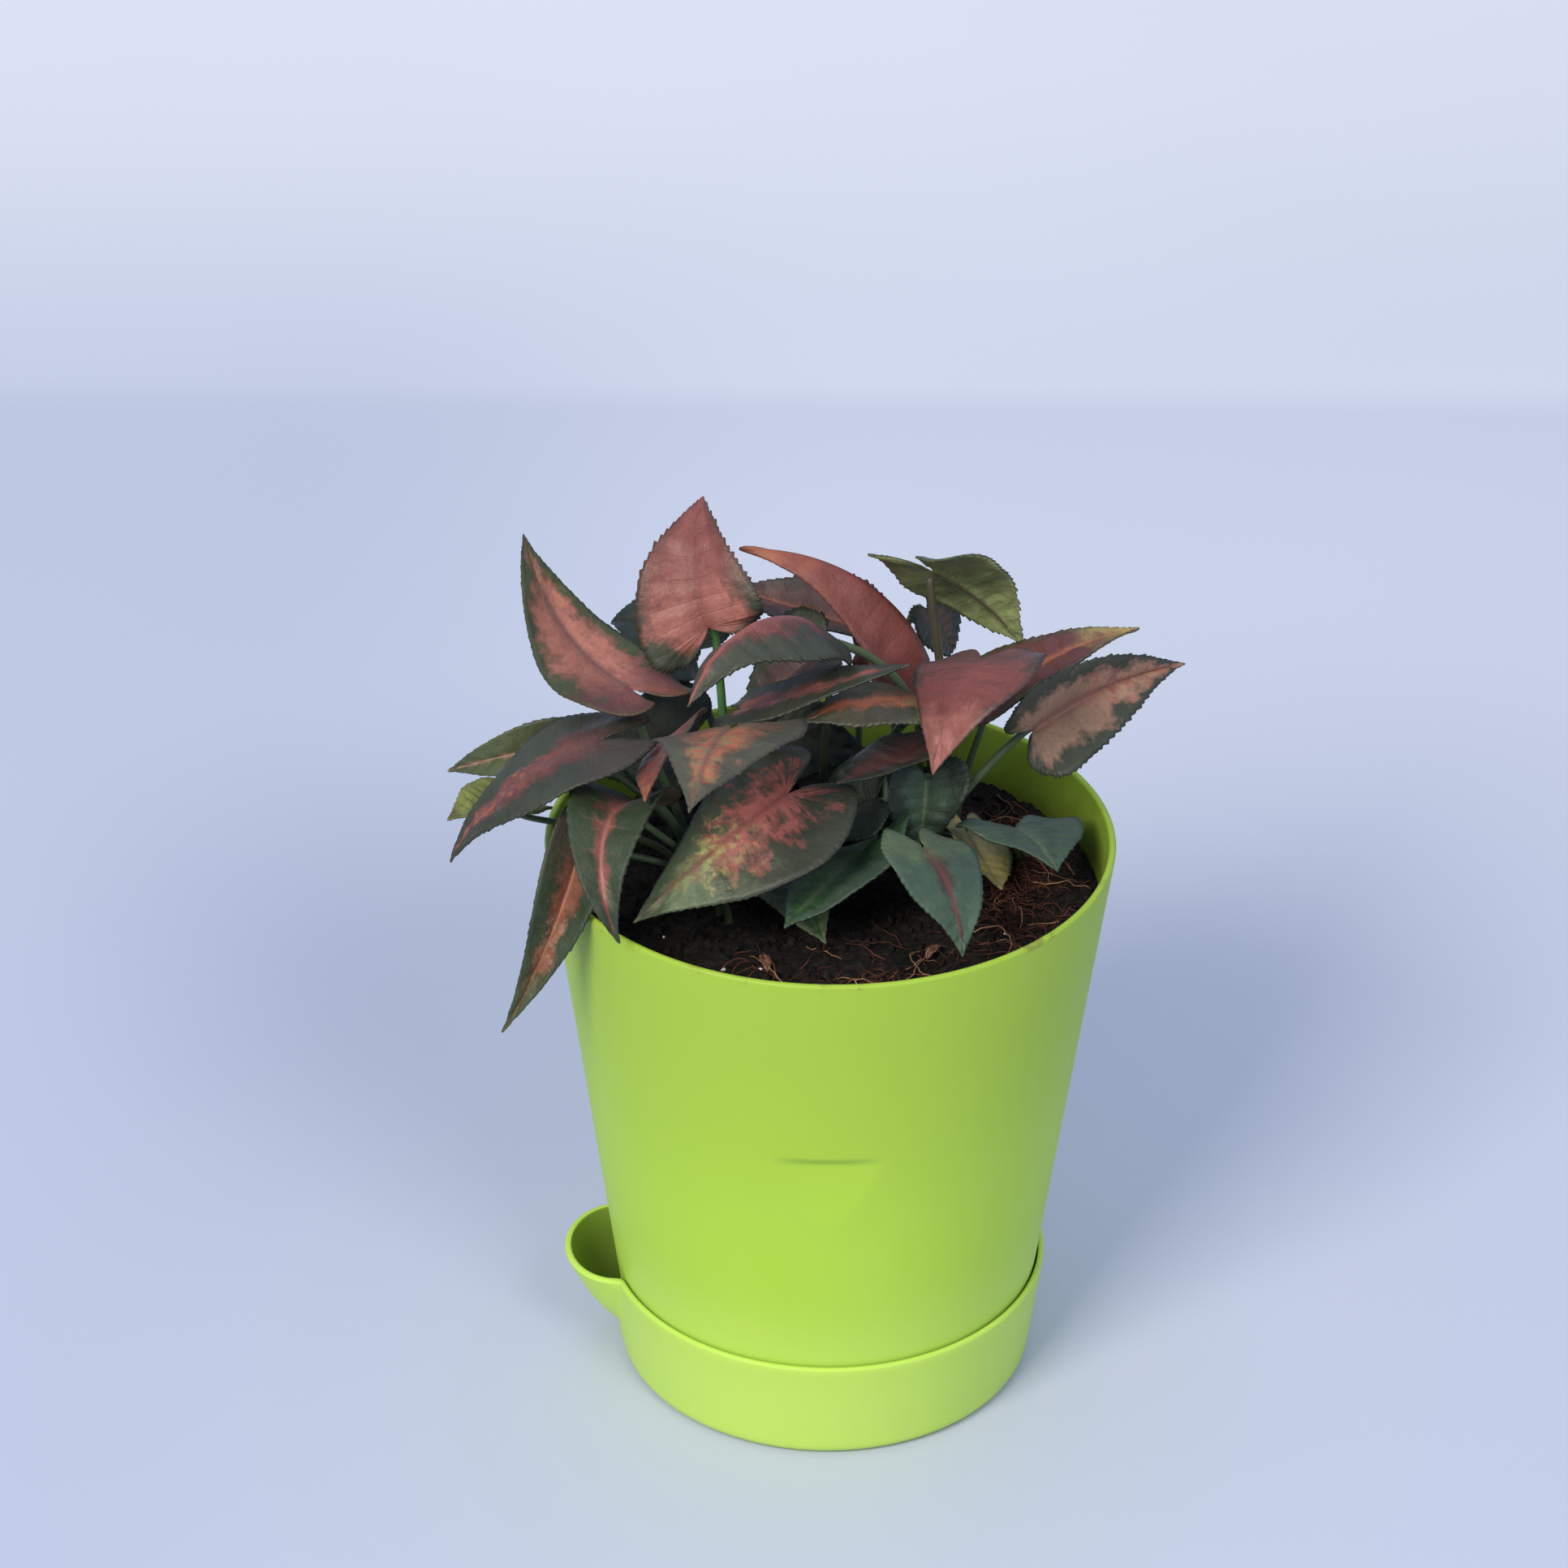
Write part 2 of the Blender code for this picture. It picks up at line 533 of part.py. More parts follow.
def make_stalk(name, leaf, group):
    """The stalk as a closed tube mesh, thinner toward the blade."""
    curve = bpy.data.curves.new(name, "CURVE")
    curve.dimensions = "3D"
    curve.bevel_depth = stalk_radius(leaf) * MM
    curve.bevel_resolution = 1
    curve.use_fill_caps = True
    points = stalk_line(leaf)
    line = curve.splines.new("POLY")
    line.points.add(len(points) - 1)
    for i, point in enumerate(points):
        line.points[i].co = (*(Vector(point) * MM), 1.0)
        line.points[i].radius = 1.0 - STALK_TAPER * max(i - 1, 0) / (len(points) - 2)
    source = bpy.data.objects.new(name + "_line", curve)
    group.objects.link(source)
    evaluated = source.evaluated_get(bpy.context.evaluated_depsgraph_get())
    mesh = bpy.data.meshes.new_from_object(evaluated)
    tube = add_object(name, mesh, group)
    tube.matrix_world = source.matrix_world
    bpy.data.objects.remove(source, do_unlink=True)
    weld_caps(mesh)
    return tube


def weld_caps(mesh):
    shape = bmesh.new()
    shape.from_mesh(mesh)
    bmesh.ops.remove_doubles(shape, verts=shape.verts, dist=WELD)
    bmesh.ops.recalc_face_normals(shape, faces=shape.faces)
    shape.to_mesh(mesh)
    shape.free()


def make_leaf(number, leaf, group, mat):
    """A waved blade with its stalk grown into it."""
    rows = BLADE_ROWS if leaf.size[0] > SMALL_LEAF else BLADE_ROWS - 2
    name = f"leaf_{number:02d}"
    mesh = bpy.data.meshes.new(name)
    shape = bmesh.new()
    bmesh.ops.create_grid(shape, x_segments=rows, y_segments=2 * BLADE_COLUMNS, size=1.0)
    for vert in shape.verts:
        u = NOTCH_START + (1 - NOTCH_START) * (vert.co.x + 1) / 2
        vert.co = Vector(blade_point(u, vert.co.y, leaf, number)) * MM
    bmesh.ops.remove_doubles(shape, verts=shape.verts, dist=WELD)
    bmesh.ops.triangulate(shape, faces=shape.faces)
    bmesh.ops.recalc_face_normals(shape, faces=shape.faces)
    shape.to_mesh(mesh)
    shape.free()
    blade = add_object(name, mesh, group, mat)
    thick = blade.modifiers.new("Thickness", "SOLIDIFY")
    thick.thickness = BLADE_THICK * MM
    thick.offset = 0.0
    thick.use_even_offset = True
    stalk = make_stalk(name + "_stalk", leaf, group)
    boolean(blade, "UNION", stalk)
    apply_and_drop(blade, stalk)


def apply_and_drop(item, operand):
    """Keep the result of an object's modifiers and remove what was joined into it."""
    evaluated = item.evaluated_get(bpy.context.evaluated_depsgraph_get())
    mesh = bpy.data.meshes.new_from_object(evaluated)
    item.modifiers.clear()
    item.data = mesh
    bpy.data.objects.remove(operand, do_unlink=True)


def main():
    clear_scene()
    parts = new_collection("potted_syngonium")
    cutters = new_collection("cutters")
    for number, leaf in enumerate(LEAVES, start=1):
        make_leaf(number, leaf, parts, material(f"leaf_{number:02d}_skin", RUSSET, 0.55))
    make_pot(parts, cutters, material("pot_plastic", LIME, 0.38))
    make_saucer(parts, cutters, material("saucer_plastic", LIME, 0.38))
    make_soil(parts, cutters, material("peat", PEAT, 0.95))


main()
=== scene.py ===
"""Fine pieces, materials, light and camera for the potted arrowhead vine.

Sizes are in millimetres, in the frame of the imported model; meshes are scaled to metres when made.
"""
import math
import random
from dataclasses import dataclass
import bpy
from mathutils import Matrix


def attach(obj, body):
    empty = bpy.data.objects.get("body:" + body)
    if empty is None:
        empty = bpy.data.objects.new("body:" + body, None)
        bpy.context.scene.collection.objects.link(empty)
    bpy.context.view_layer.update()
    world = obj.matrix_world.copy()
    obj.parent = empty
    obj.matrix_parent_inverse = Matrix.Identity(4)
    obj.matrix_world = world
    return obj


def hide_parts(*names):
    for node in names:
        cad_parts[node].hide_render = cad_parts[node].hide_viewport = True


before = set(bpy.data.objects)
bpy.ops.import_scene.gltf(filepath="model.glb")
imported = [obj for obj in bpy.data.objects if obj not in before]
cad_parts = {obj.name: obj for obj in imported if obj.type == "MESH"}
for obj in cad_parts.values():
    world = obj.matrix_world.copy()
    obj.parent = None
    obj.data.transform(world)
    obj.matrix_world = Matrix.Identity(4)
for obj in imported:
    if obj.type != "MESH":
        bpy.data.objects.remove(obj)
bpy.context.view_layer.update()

from types import SimpleNamespace

import bmesh
import bpy
import numpy as np
from mathutils import Matrix, Vector, noise

MM = 0.001

# Pot and saucer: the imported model's sizes, with a softer recess and a rounder spout
POT_TOP = 134.5
POT_TOP_RADIUS = 62.5
LEAN = 0.1285
POT_WALL = 1.6
POT_FLOOR_LOW = 8.3
FLOOR_THICK = 1.8
CUP_RADIUS = 10.0
CUP_LOW = 2.1
DRAIN_HOLES = 8
DRAIN_RING = 22.0
DRAIN_RADIUS = 2.5
RECESS_TOP = 87.2
RECESS_DEPTH = 1.4
RECESS_LEDGE = 3.0
RECESS_ROWS = 60
RECESS_HEIGHT = 19.0
RECESS_TURN = -90.5
SAUCER_TOP = 26.3
SAUCER_WALL = 1.5
SAUCER_CORNER = 2.9
INNER_CORNER = 1.5
RIB_RADIUS = 34.0
RIB_THICK = 2.0
SPOUT_Y = -2.0
SPOUT_LOW = 8.0
SPOUT_HALF_WIDTH = (7.0, 16.0)  # at its foot and at the rim
SPOUT_CENTRE_X = (-42.0, -47.7)
SPOUT_FLATTEN = 0.8
SPOUT_WALL = 1.7
SPOUT_FILLET = 1.6
SPOUT_BULGE = 0.6
SPOUT_SPAN = 0.5  # half its angle seen from the axis, in radians
GAP = 0.3
ROUND_STEPS = 256
POT_CREASE = 28.0  # edges bent more than this, in degrees, are drawn sharp
SAUCER_CREASE = 35.0

# Soil
SOIL_TOP = 120.8
SOIL_BUMP = 0.8
SOIL_GAP = 0.5
SOIL_CELLS = 230
CRUMB_COUNT = 1500
CRUMB_SEED = 11
FIBRE_COUNT = 520
FIBRE_SEED = 5
HOLE_DEPTH = 8.0
LITTER_REACH = 57.0
FIBRE_STEP = 1.3
FIBRE_KINK = 0.45
# Mean and spread of x, then of y
FIBRE_SPOTS = {"right": ((42, 10), (2, 19)), "front": ((10, 18), (-43, 8))}
DRY_ROOT_EVERY = 9
# x, y and size
PERLITE = [(-23, -35, 0.5), (-19, -39, 0.45), (-30, -37, 0.4), (-15, -36, 0.5), (-36, -22, 0.4),
           (2, -46, 0.5), (31, -35, 0.5), (12, -40, 0.45), (-8, -50, 0.5), (38, -20, 0.5)]
# x, y, length, width and heading
SCRAPS = [(-14, -33, 5.5, 2.0, 100), (22, -28, 5.0, 1.6, 60), (5, -48, 6.0, 2.2, -20),
          (12, -47, 5.0, 1.8, 40), (30, -40, 4.0, 1.8, 10)]

# Leaf blades and stalks
STALK_RADIUS = 1.0
SMALL_STALK_RADIUS = 0.8
BLADE_THICK = 0.5
BLADE_ROWS = 170
BLADE_COLUMNS = 10
WAVE_HEIGHT = 0.7
WAVES_PER_SIDE = 3.5
TOOTH_PITCH = 1.6
TOOTHED = (0.16, 0.96)
TOOTH_HEIGHT = 0.8
VEIN_COUNT = 13
VEIN_BEND = 0.3
MIDRIB_SINK = 0.5
VEIN_SINK = 0.16
SMALL_LEAF = 24.0  # leaves up to this length or width have a coarser blade or a thinner stalk

# Half a blade's margin from notch to tip: shares of its length and half width
MARGIN = np.array([
    (0.00, 0.00), (-0.13, 0.10), (-0.26, 0.27), (-0.33, 0.48), (-0.29, 0.70), (-0.16, 0.90),
    (0.02, 1.00), (0.18, 0.97), (0.36, 0.81), (0.54, 0.58), (0.72, 0.34), (0.88, 0.13),
    (1.00, 0.00)])
MARGIN_LOBE = 0.33
NOTCH_START = 0.07
MIDRIB_START = 0.46

# Camera, from the proportions of the rims in the photograph
CAMERA_LENS = 102.5
CAMERA_SENSOR = 36.0
CAMERA_ELEVATION = 29.92
CAMERA_DISTANCE = 971.0
CAMERA_ROLL = 0.30
CAMERA_TARGET = (-10.2, 0.0, 146.9)

# Lights: azimuth from +X, elevation, distance and size in metres, power and colour
LIGHTS = {
    "key": (236.0, 39.0, 2.6, 1.0, 55.0, (1.0, 0.93, 0.82)),
    "side": (298.0, 42.0, 2.6, 0.8, 18.5, (1.0, 0.95, 0.88)),
    "top": (100.0, 75.0, 2.4, 1.6, 8.0, (0.92, 0.95, 1.0)),
}
SKY_COLOUR = (0.52, 0.64, 0.92, 1.0)
SKY_STRENGTH = 0.62
FLOOR_DROP = 0.2  # how far the floor lies below the saucer, so that they don't touch
FLOOR_HALF = 6.0  # half its side, in metres


def srgb(red, green, blue):
    """Linear colour from the three 0 to 255 screen values."""
    linear = [(c / 255 + 0.055) ** 2.4 / 1.055 ** 2.4 if c > 10 else c / 255 / 12.92
              for c in (red, green, blue)]
    return (*linear, 1.0)


PALETTE = {
    "salmon": srgb(178, 114, 96), "pink": srgb(152, 88, 80), "rose": srgb(118, 64, 60),
    "brick": srgb(116, 62, 56), "orange": srgb(158, 92, 64), "beige": srgb(152, 120, 98),
    "mauve": srgb(98, 70, 64), "plum": srgb(68, 58, 52), "brown": srgb(76, 70, 52),
    "dark": srgb(56, 60, 46), "night": srgb(40, 52, 40), "green": srgb(74, 82, 52),
    "olive": srgb(112, 122, 78), "grey": srgb(74, 72, 58), "bluegreen": srgb(68, 88, 70),
    "grass": srgb(52, 84, 50), "lime": srgb(128, 134, 66), "straw": srgb(118, 110, 74),
    "sage": srgb(96, 112, 80), "cream": srgb(166, 174, 100), "joint": srgb(72, 118, 62),
    "sand": srgb(170, 156, 96), "coral": srgb(158, 100, 88), "maroon": srgb(92, 52, 50),
    "moss": srgb(50, 62, 40), "fern": srgb(128, 138, 90), "rust": srgb(136, 86, 62),
}
# Plastic tones: the one for high up is painted shade, the one for low down painted light from the floor, and
# the deep one painted shade low inside
PLASTIC = {
    "lime": srgb(171, 208, 60), "pale": srgb(176, 212, 72), "high": srgb(155, 186, 60),
    "low": srgb(190, 222, 96), "speck": srgb(120, 110, 50), "dust": srgb(190, 190, 160),
    "rim": srgb(112, 104, 44), "deep_shade": srgb(62, 84, 30), "dark_band": srgb(62, 66, 20),
}
# Floor tones: the first four are the one pale sheet with painted light on it, lighter far off; the last two
# are painted shade left of the plant and a painted shadow near it
FLOOR = {
    "front": srgb(191, 197, 216), "middle": srgb(211, 215, 225), "line": srgb(222, 225, 232),
    "far": srgb(249, 248, 249), "left": srgb(172, 183, 205), "painted_shadow": srgb(148, 158, 182),
}

# Leaf skin: scale, detail and roughness of each noise, and how much each one moves a mix
LEAF_NOISES = {"blotch": (170.0, 5.0, 0.62), "cloud": (60.0, 3.0, 0.5), "fine": (900.0, 3.0, 0.6)}
BRUSH_ALONG = 26.0
BRUSH_SPREAD = 1.3
SPREAD_BY = {"blotch": 1.2, "cloud": 0.6}
TONE_BY = {"fine": 0.5, "brush": 0.35, "cloud": 0.8}
BRUSH_RELIEF = 0.9
RELIEF_BY = {"vein": -0.15, "fine": 0.4, "blotch": 0.8}


@dataclass
class Look:
    """Colours of one leaf, by their names in the palette, and how they are spread over it."""
    centre: str
    margin: str
    reach: float  # how far the centre's colour goes outward, 1 at the edge
    rib: str = "mauve"
    under: str = "brown"
    stalk: str = "sage"
    base: str = ""  # colour round the stalk, if any
    tip: str = ""
    tip_start: float = 0.55
    speck: str = ""
    speck_start: float = 0.12
    brush: float = 0.5  # how far the centre's colour frays along the veins
    teeth: float = 0.6  # height of the margin's teeth, as a share of the full height
    half_shade: float = 0.0  # painted shade: how much darker the left half is, or the right half where it is below 0


@dataclass
class Leaf:
    """One leaf: where its blade joins the stalk, how the blade lies, and where the stalk rises."""
    joint: tuple
    aim: tuple  # heading from +X, rise above level, roll about the midrib
    size: tuple  # length from joint to tip, width, length of the back lobes
    droop: float  # turn of the midrib from joint to tip
    foot: tuple  # stalk's x and y on the soil, its upright start, its way in behind the blade
    look: Look
    folds: tuple = (0, 0)  # lift of the left and right half
    sweep: float = 0
    twist: float = 0
    slant: float = 0  # how much one half runs ahead of the other
    waist: float = 0  # hollow in the sides between lobes and tip


SHADED = Look("dark", "night", 0.5, rib="dark")
LEAVES = [
    Leaf((-44, 2, 170), (142, 6, 7), (43, 31, 12), droop=-64, folds=(-1, -6), sweep=-5, twist=-14, slant=-8,
         foot=(-29, 0, 12, 12),
         look=Look("salmon", "green", 0.58, base="rose", tip="moss", brush=0.6, half_shade=0.35)),
    Leaf((-27, 10, 180), (163, 62, -86), (32, 29, 4), droop=79, folds=(18, 4), sweep=-37, twist=-13,
         slant=-3, foot=(-22, 9, 9, 4),
         look=Look("coral", "dark", 0.64, rib="brick", stalk="joint", tip="brick", tip_start=0.05, brush=0.3,
                   teeth=1.4)),
    Leaf((-31, 30, 164), (157, 35, -21), (23, 27, 4), droop=71, folds=(23, 28), sweep=7, twist=-6, slant=-3,
         foot=(-20, 21, 13, 8), look=Look("dark", "night", 0.3, rib="dark")),
    Leaf((-50, -15, 166), (195, -12, 2), (43, 30, 12), droop=53, folds=(-1, -4), sweep=-6, twist=-10,
         slant=10, foot=(-28, -6, 15, 14),
         look=Look("rose", "dark", 0.17, base="plum", speck="orange", brush=0.4, teeth=1.0)),
    Leaf((-59, 11, 150), (184, -8, -58), (30, 14, 8), droop=48, folds=(25, 31), sweep=6,
         foot=(-31, 8, 12, 8), look=Look("beige", "green", 0.14, rib="beige", brush=0.3)),
    Leaf((-69, -3, 144), (224, 21, 0), (20, 18, 6), droop=20, folds=(8, 10), sweep=8, twist=-7, slant=-3,
         foot=(-33, 2, 15, 4), look=Look("lime", "lime", 0.5, rib="lime", under="lime", tip="brown")),
    Leaf((-54, -27, 144), (243, -54, -25), (42, 17, 11), droop=26, folds=(44, 38), sweep=-16, twist=-18,
         foot=(-22, -16, 16, 5),
         look=Look("rust", "moss", 0.36, rib="salmon", base="brown", tip="green", tip_start=0.4,
                   speck="beige", brush=0.8)),
    Leaf((-43, -22, 155), (245, 26, 22), (41, 22, 11), droop=126, folds=(7, 36), sweep=-12, twist=-20,
         slant=8, foot=(-24, -12, 13, 4),
         look=Look("pink", "moss", 0.07, rib="coral", base="night", brush=0.2, teeth=0.9)),
    Leaf((-33, -13, 167), (240, -1, 47), (24, 17, 6), droop=34, sweep=7, twist=-11, foot=(-25, -1, 6, 9),
         look=Look("brick", "brown", 0.75, tip="orange")),
    Leaf((-21, -34, 180), (257, 26, 6), (38, 32, 10), droop=50, folds=(2, -10), sweep=-6, twist=-22, slant=4,
         foot=(-12, 16, 49, 8),
         look=Look("orange", "grey", 0.42, base="grey", tip="grey", speck="straw", brush=0.3, teeth=0.8)),
    Leaf((-10, -18, 155), (219, -18, -4), (43, 38, 13), droop=23, folds=(-11, -14), sweep=-12, twist=-9,
         slant=12, foot=(-14, 3, 18, 4),
         look=Look("pink", "dark", 0.38, rib="rose", tip="sage", tip_start=0.3, speck="cream",
                   speck_start=0.28, brush=1.3)),
    Leaf((-6, -2, 189), (216, 29, 14), (40, 33, 9), droop=85, folds=(-27, -34), sweep=6,
         foot=(24, 18, 57, 5),
         look=Look("rose", "dark", 0.24, rib="pink", brush=0.4, under="mauve", teeth=1.4)),
    Leaf((-19, -4, 168), (338, 28, -1), (42, 20, 5), droop=4, twist=17, foot=(-20, 3, 35, 7),
         look=Look("pink", "dark", 0.2, tip="night", under="plum", teeth=0.9)),
    Leaf((21, -8, 172), (183, 11, 17), (29, 26, 8), droop=35, folds=(-2, -7), sweep=6, twist=-39, slant=9,
         foot=(11, 21, 43, 4),
         look=Look("orange", "grey", 0.14, rib="orange", base="olive", tip="dark", brush=0.3, teeth=1.2)),
    Leaf((22, 24, 165), (177, 69, 1), (53, 43, 10), droop=75, folds=(-42, -59), waist=0.3,
         foot=(20, 20, 16, 3),
         look=Look("brick", "rose", 1.1, rib="brick", under="brick", tip="orange", brush=0.3)),
    Leaf((4, 46, 162), (154, 5, -10), (31, 22, 8), droop=7, folds=(26, 25), sweep=-6, twist=-26,
         foot=(6, 30, 10, 6), look=Look("mauve", "plum", 0.6, rib="orange", teeth=1.4)),
    Leaf((23, 25, 186), (25, -34, -36), (28, 31, 12), droop=32, folds=(9, 1), sweep=-5, twist=-20, slant=3,
         foot=(27, 22, 32, 2), look=Look("green", "green", 0.5, under="fern", stalk="brown", teeth=1.4)),
    Leaf((22, 38, 170), (353, -51, 30), (14, 17, 4), droop=43, folds=(13, 12), twist=6, slant=-7,
         foot=(14, 28, 10, 7), look=Look("plum", "night", 0.4, rib="dark", under="plum", teeth=1.4)),
    Leaf((34, 12, 162), (16, 34, -1), (37, 22, 9), droop=28, folds=(10, 10), twist=12, slant=-3,
         foot=(28, 17, 18, 4),
         look=Look("maroon", "brown", 0.8, rib="orange", tip="sand", tip_start=0.6, teeth=1.0)),
    Leaf((31, -13, 185), (244, 0, -2), (30, 29, 8), droop=76, folds=(12, -22), foot=(22, 11, 58, 6),
         look=Look("brick", "plum", 0.8, rib="rose", base="mauve", tip="coral", tip_start=0.35, brush=0.8,
                   half_shade=-0.2)),
    Leaf((44, 2, 160), (30, 23, 66), (42, 26, 6), droop=24, folds=(42, 36), sweep=-31, twist=-11,
         foot=(17, 0, 8, 12),
         look=Look("beige", "dark", 0.58, rib="rose", speck="coral", brush=0.8, teeth=1.4)),
    Leaf((21, 3, 146), (261, -54, -8), (17, 20, 4), droop=48, folds=(26, 28), twist=-4, slant=-9,
         foot=(21, 4, 9, 5), look=Look("bluegreen", "night", 0.6, rib="sage", under="bluegreen")),
    Leaf((20, -28, 147), (307, -21, -21), (25, 27, 7), droop=45, sweep=-5, twist=19, slant=-4,
         foot=(22, -11, 11, 8), look=Look("plum", "bluegreen", 0.07, rib="rose", base="sage", brush=0.2)),
    Leaf((8, -11, 138), (230, -12, 32), (32, 29, 8), droop=0, folds=(4, -1), sweep=13, twist=-47,
         foot=(4, 4, 13, 4), look=Look("grass", "bluegreen", 0.4, rib="sage", base="grass")),
    Leaf((-10, -5, 127), (289, -6, -2), (27, 19, 7), droop=-5, folds=(9, 9), twist=10, foot=(-10, 2, 8, 3),
         look=Look("grass", "sage", 0.4, rib="sage")),
    Leaf((31, 9, 129), (290, -13, -34), (22, 18, 8), droop=-10, folds=(7, 7), sweep=-16, twist=16, slant=3,
         foot=(24, 14, 8, 3),
         look=Look("sand", "olive", 0.7, rib="straw", tip="sand", tip_start=0.3, stalk="olive")),
    Leaf((41, 4, 134), (298, 11, -10), (20, 28, 6), droop=24, folds=(4, 3), sweep=-4, slant=7,
         foot=(42, 11, 11, 3), look=Look("bluegreen", "bluegreen", 0.3, rib="sage")),
    Leaf((19, -2, 158), (231, 0, 17), (28, 20, 8), droop=-11, folds=(6, 5), twist=-18, slant=-4,
         foot=(13, 16, 32, 3), look=Look("mauve", "dark", 0.5, rib="rose")),
    Leaf((9, -6, 147), (170, -30, -30), (21, 22, 4), droop=34, folds=(12, 15), sweep=5, foot=(9, 3, 45, 2),
         look=Look("dark", "night", 0.3, rib="dark")),
    Leaf((-31, 21, 147), (185, -12, -60), (30, 25, 6), droop=25, folds=(5, 5), foot=(-23, 28, 12, 4),
         look=SHADED),
    Leaf((-3, 12, 173), (198, -28, -12), (32, 24, 4), droop=75, folds=(18, 14), slant=7,
         foot=(-2, 17, 30, 3), look=Look("mauve", "dark", 0.4, rib="beige", teeth=1.4)),
    Leaf((-14, 27, 145), (355, -10, 55), (24, 24, 6), droop=20, folds=(6, 6), foot=(-10, 33, 10, 4),
         look=SHADED),
]


class Shader:
    """A material's node tree, with short calls for the nodes used here."""

    def __init__(self, name):
        self.mat = bpy.data.materials.new(name)
        self.mat.use_nodes = True
        self.tree = self.mat.node_tree
        self.skin = self.tree.nodes["Principled BSDF"]

    def feed(self, socket, value):
        if isinstance(value, bpy.types.NodeSocket):
            self.tree.links.new(value, socket)
        else:
            socket.default_value = value

    def node(self, kind, inputs=None, **settings):
        item = self.tree.nodes.new(kind)
        for key, value in settings.items():
            setattr(item, key, value)
        for key, value in (inputs or {}).items():
            self.feed(item.inputs[key], value)
        return item

    def math(self, operation, a, b=0.0, c=0.0):
        return self.node("ShaderNodeMath", {0: a, 1: b, 2: c}, operation=operation).outputs[0]

    def times(self, a, b):
        return self.math("MULTIPLY", a, b)

    def times_plus(self, a, b, c):
        """a times b, and c added."""
        return self.math("MULTIPLY_ADD", a, b, c)

    def blend(self, factor, a, b, kind="MIX"):
        item = self.node("ShaderNodeMix", data_type="RGBA", blend_type=kind)
        for index, value in ((0, factor), (6, a), (7, b)):
            self.feed(item.inputs[index], value)
        return item.outputs[2]

    def lay(self, mask, strength, colour, over):
        """The second colour laid over the first where the mask is on, as strongly as asked."""
        return self.blend(self.times(mask, strength), colour, over)

    def toned(self, colour, tone):
        return self.blend(1.0, colour, self.join(tone, tone, tone), "MULTIPLY")

    def noise(self, vector, scale, detail=3.0, roughness=0.5):
        inputs = {"Vector": vector, "Scale": scale, "Detail": detail, "Roughness": roughness}
        return self.node("ShaderNodeTexNoise", inputs).outputs["Fac"]

    def centred(self, vector, scale, detail, roughness):
        """Noise about zero."""
        return self.math("SUBTRACT", self.noise(vector, scale, detail, roughness), 0.5)

    def step(self, value, low, high):
        """0 below low and 1 above high, smooth between, or the other way round."""
        inputs = {"Value": value, "From Min": low, "From Max": high}
        return self.node("ShaderNodeMapRange", inputs, interpolation_type="SMOOTHSTEP").outputs[0]

    def place(self):
        return self.node("ShaderNodeTexCoord").outputs["Object"]

    def split(self, vector):
        return self.node("ShaderNodeSeparateXYZ", {0: vector}).outputs

    def join(self, x, y, z):
        return self.node("ShaderNodeCombineXYZ", {0: x, 1: y, 2: z}).outputs[0]

    def bump(self, height, strength, distance):
        inputs = {"Height": height, "Strength": strength, "Distance": distance}
        self.feed(self.skin.inputs["Normal"], self.node("ShaderNodeBump", inputs).outputs[0])

    def finish(self, colour, roughness, specular):
        self.feed(self.skin.inputs["Base Color"], colour)
        self.feed(self.skin.inputs["Roughness"], roughness)
        self.skin.inputs["Specular IOR Level"].default_value = specular
        return self.mat


def shade(colour, factor):
    return (*(c * factor for c in colour[:3]), 1.0)


def leaf_fields(s, number):
    """Places on the blade, and the noises that colour and emboss it, by name."""
    blade = s.split(s.node("ShaderNodeUVMap", uv_map="blade").outputs[0])
    plan = s.split(s.node("ShaderNodeUVMap", uv_map="plan").outputs[0])
    f = SimpleNamespace(along=blade[0], across=blade[1], ahead=plan[0], aside=plan[1])
    f.edge = s.math("ABSOLUTE", s.times_plus(f.across, 2.0, -1.0))
    f.place = s.place()
    side = s.math("SIGN", s.math("SUBTRACT", f.across, 0.5))
    strokes = s.join(s.times(f.along, BRUSH_ALONG), s.times(f.edge, 2.0), s.times_plus(side, 7.0, number))
    f.brush = s.centred(strokes, 1.0, 3.0, 0.6)
    for name, values in LEAF_NOISES.items():
        setattr(f, name, s.centred(f.place, *values))
    return f


def mixed(s, f, weights, total):
    """A total with several of the leaf's fields added by their weights."""
    for name, weight in weights.items():
        total = s.times_plus(getattr(f, name), weight, total)
    return total


def under_colour(s, f, look):
    """Plain mottled underside, redder near the stalk."""
    base = PALETTE[look.under]
    colour = s.blend(s.step(f.blotch, -0.15, 0.2), shade(base, 0.75), shade(base, 1.15))
    return s.lay(s.step(f.ahead, 0.25, -0.05), 0.25, colour, PALETTE["mauve"])


def specked(s, f, look, spread, colour):
    """Fine flecks round the border of the centre, outward from the stalk."""
    grain = s.noise(f.place, 480.0, 4.0, 0.65)
    band = s.step(spread, look.reach + 0.30, look.reach - 0.05)
    outward = s.step(s.times_plus(f.cloud, 0.8, f.ahead), look.speck_start, look.speck_start + 0.35)
    specks = s.times(s.times(s.step(grain, 0.46, 0.60), band), outward)
    return s.lay(specks, 0.85, colour, PALETTE[look.speck])


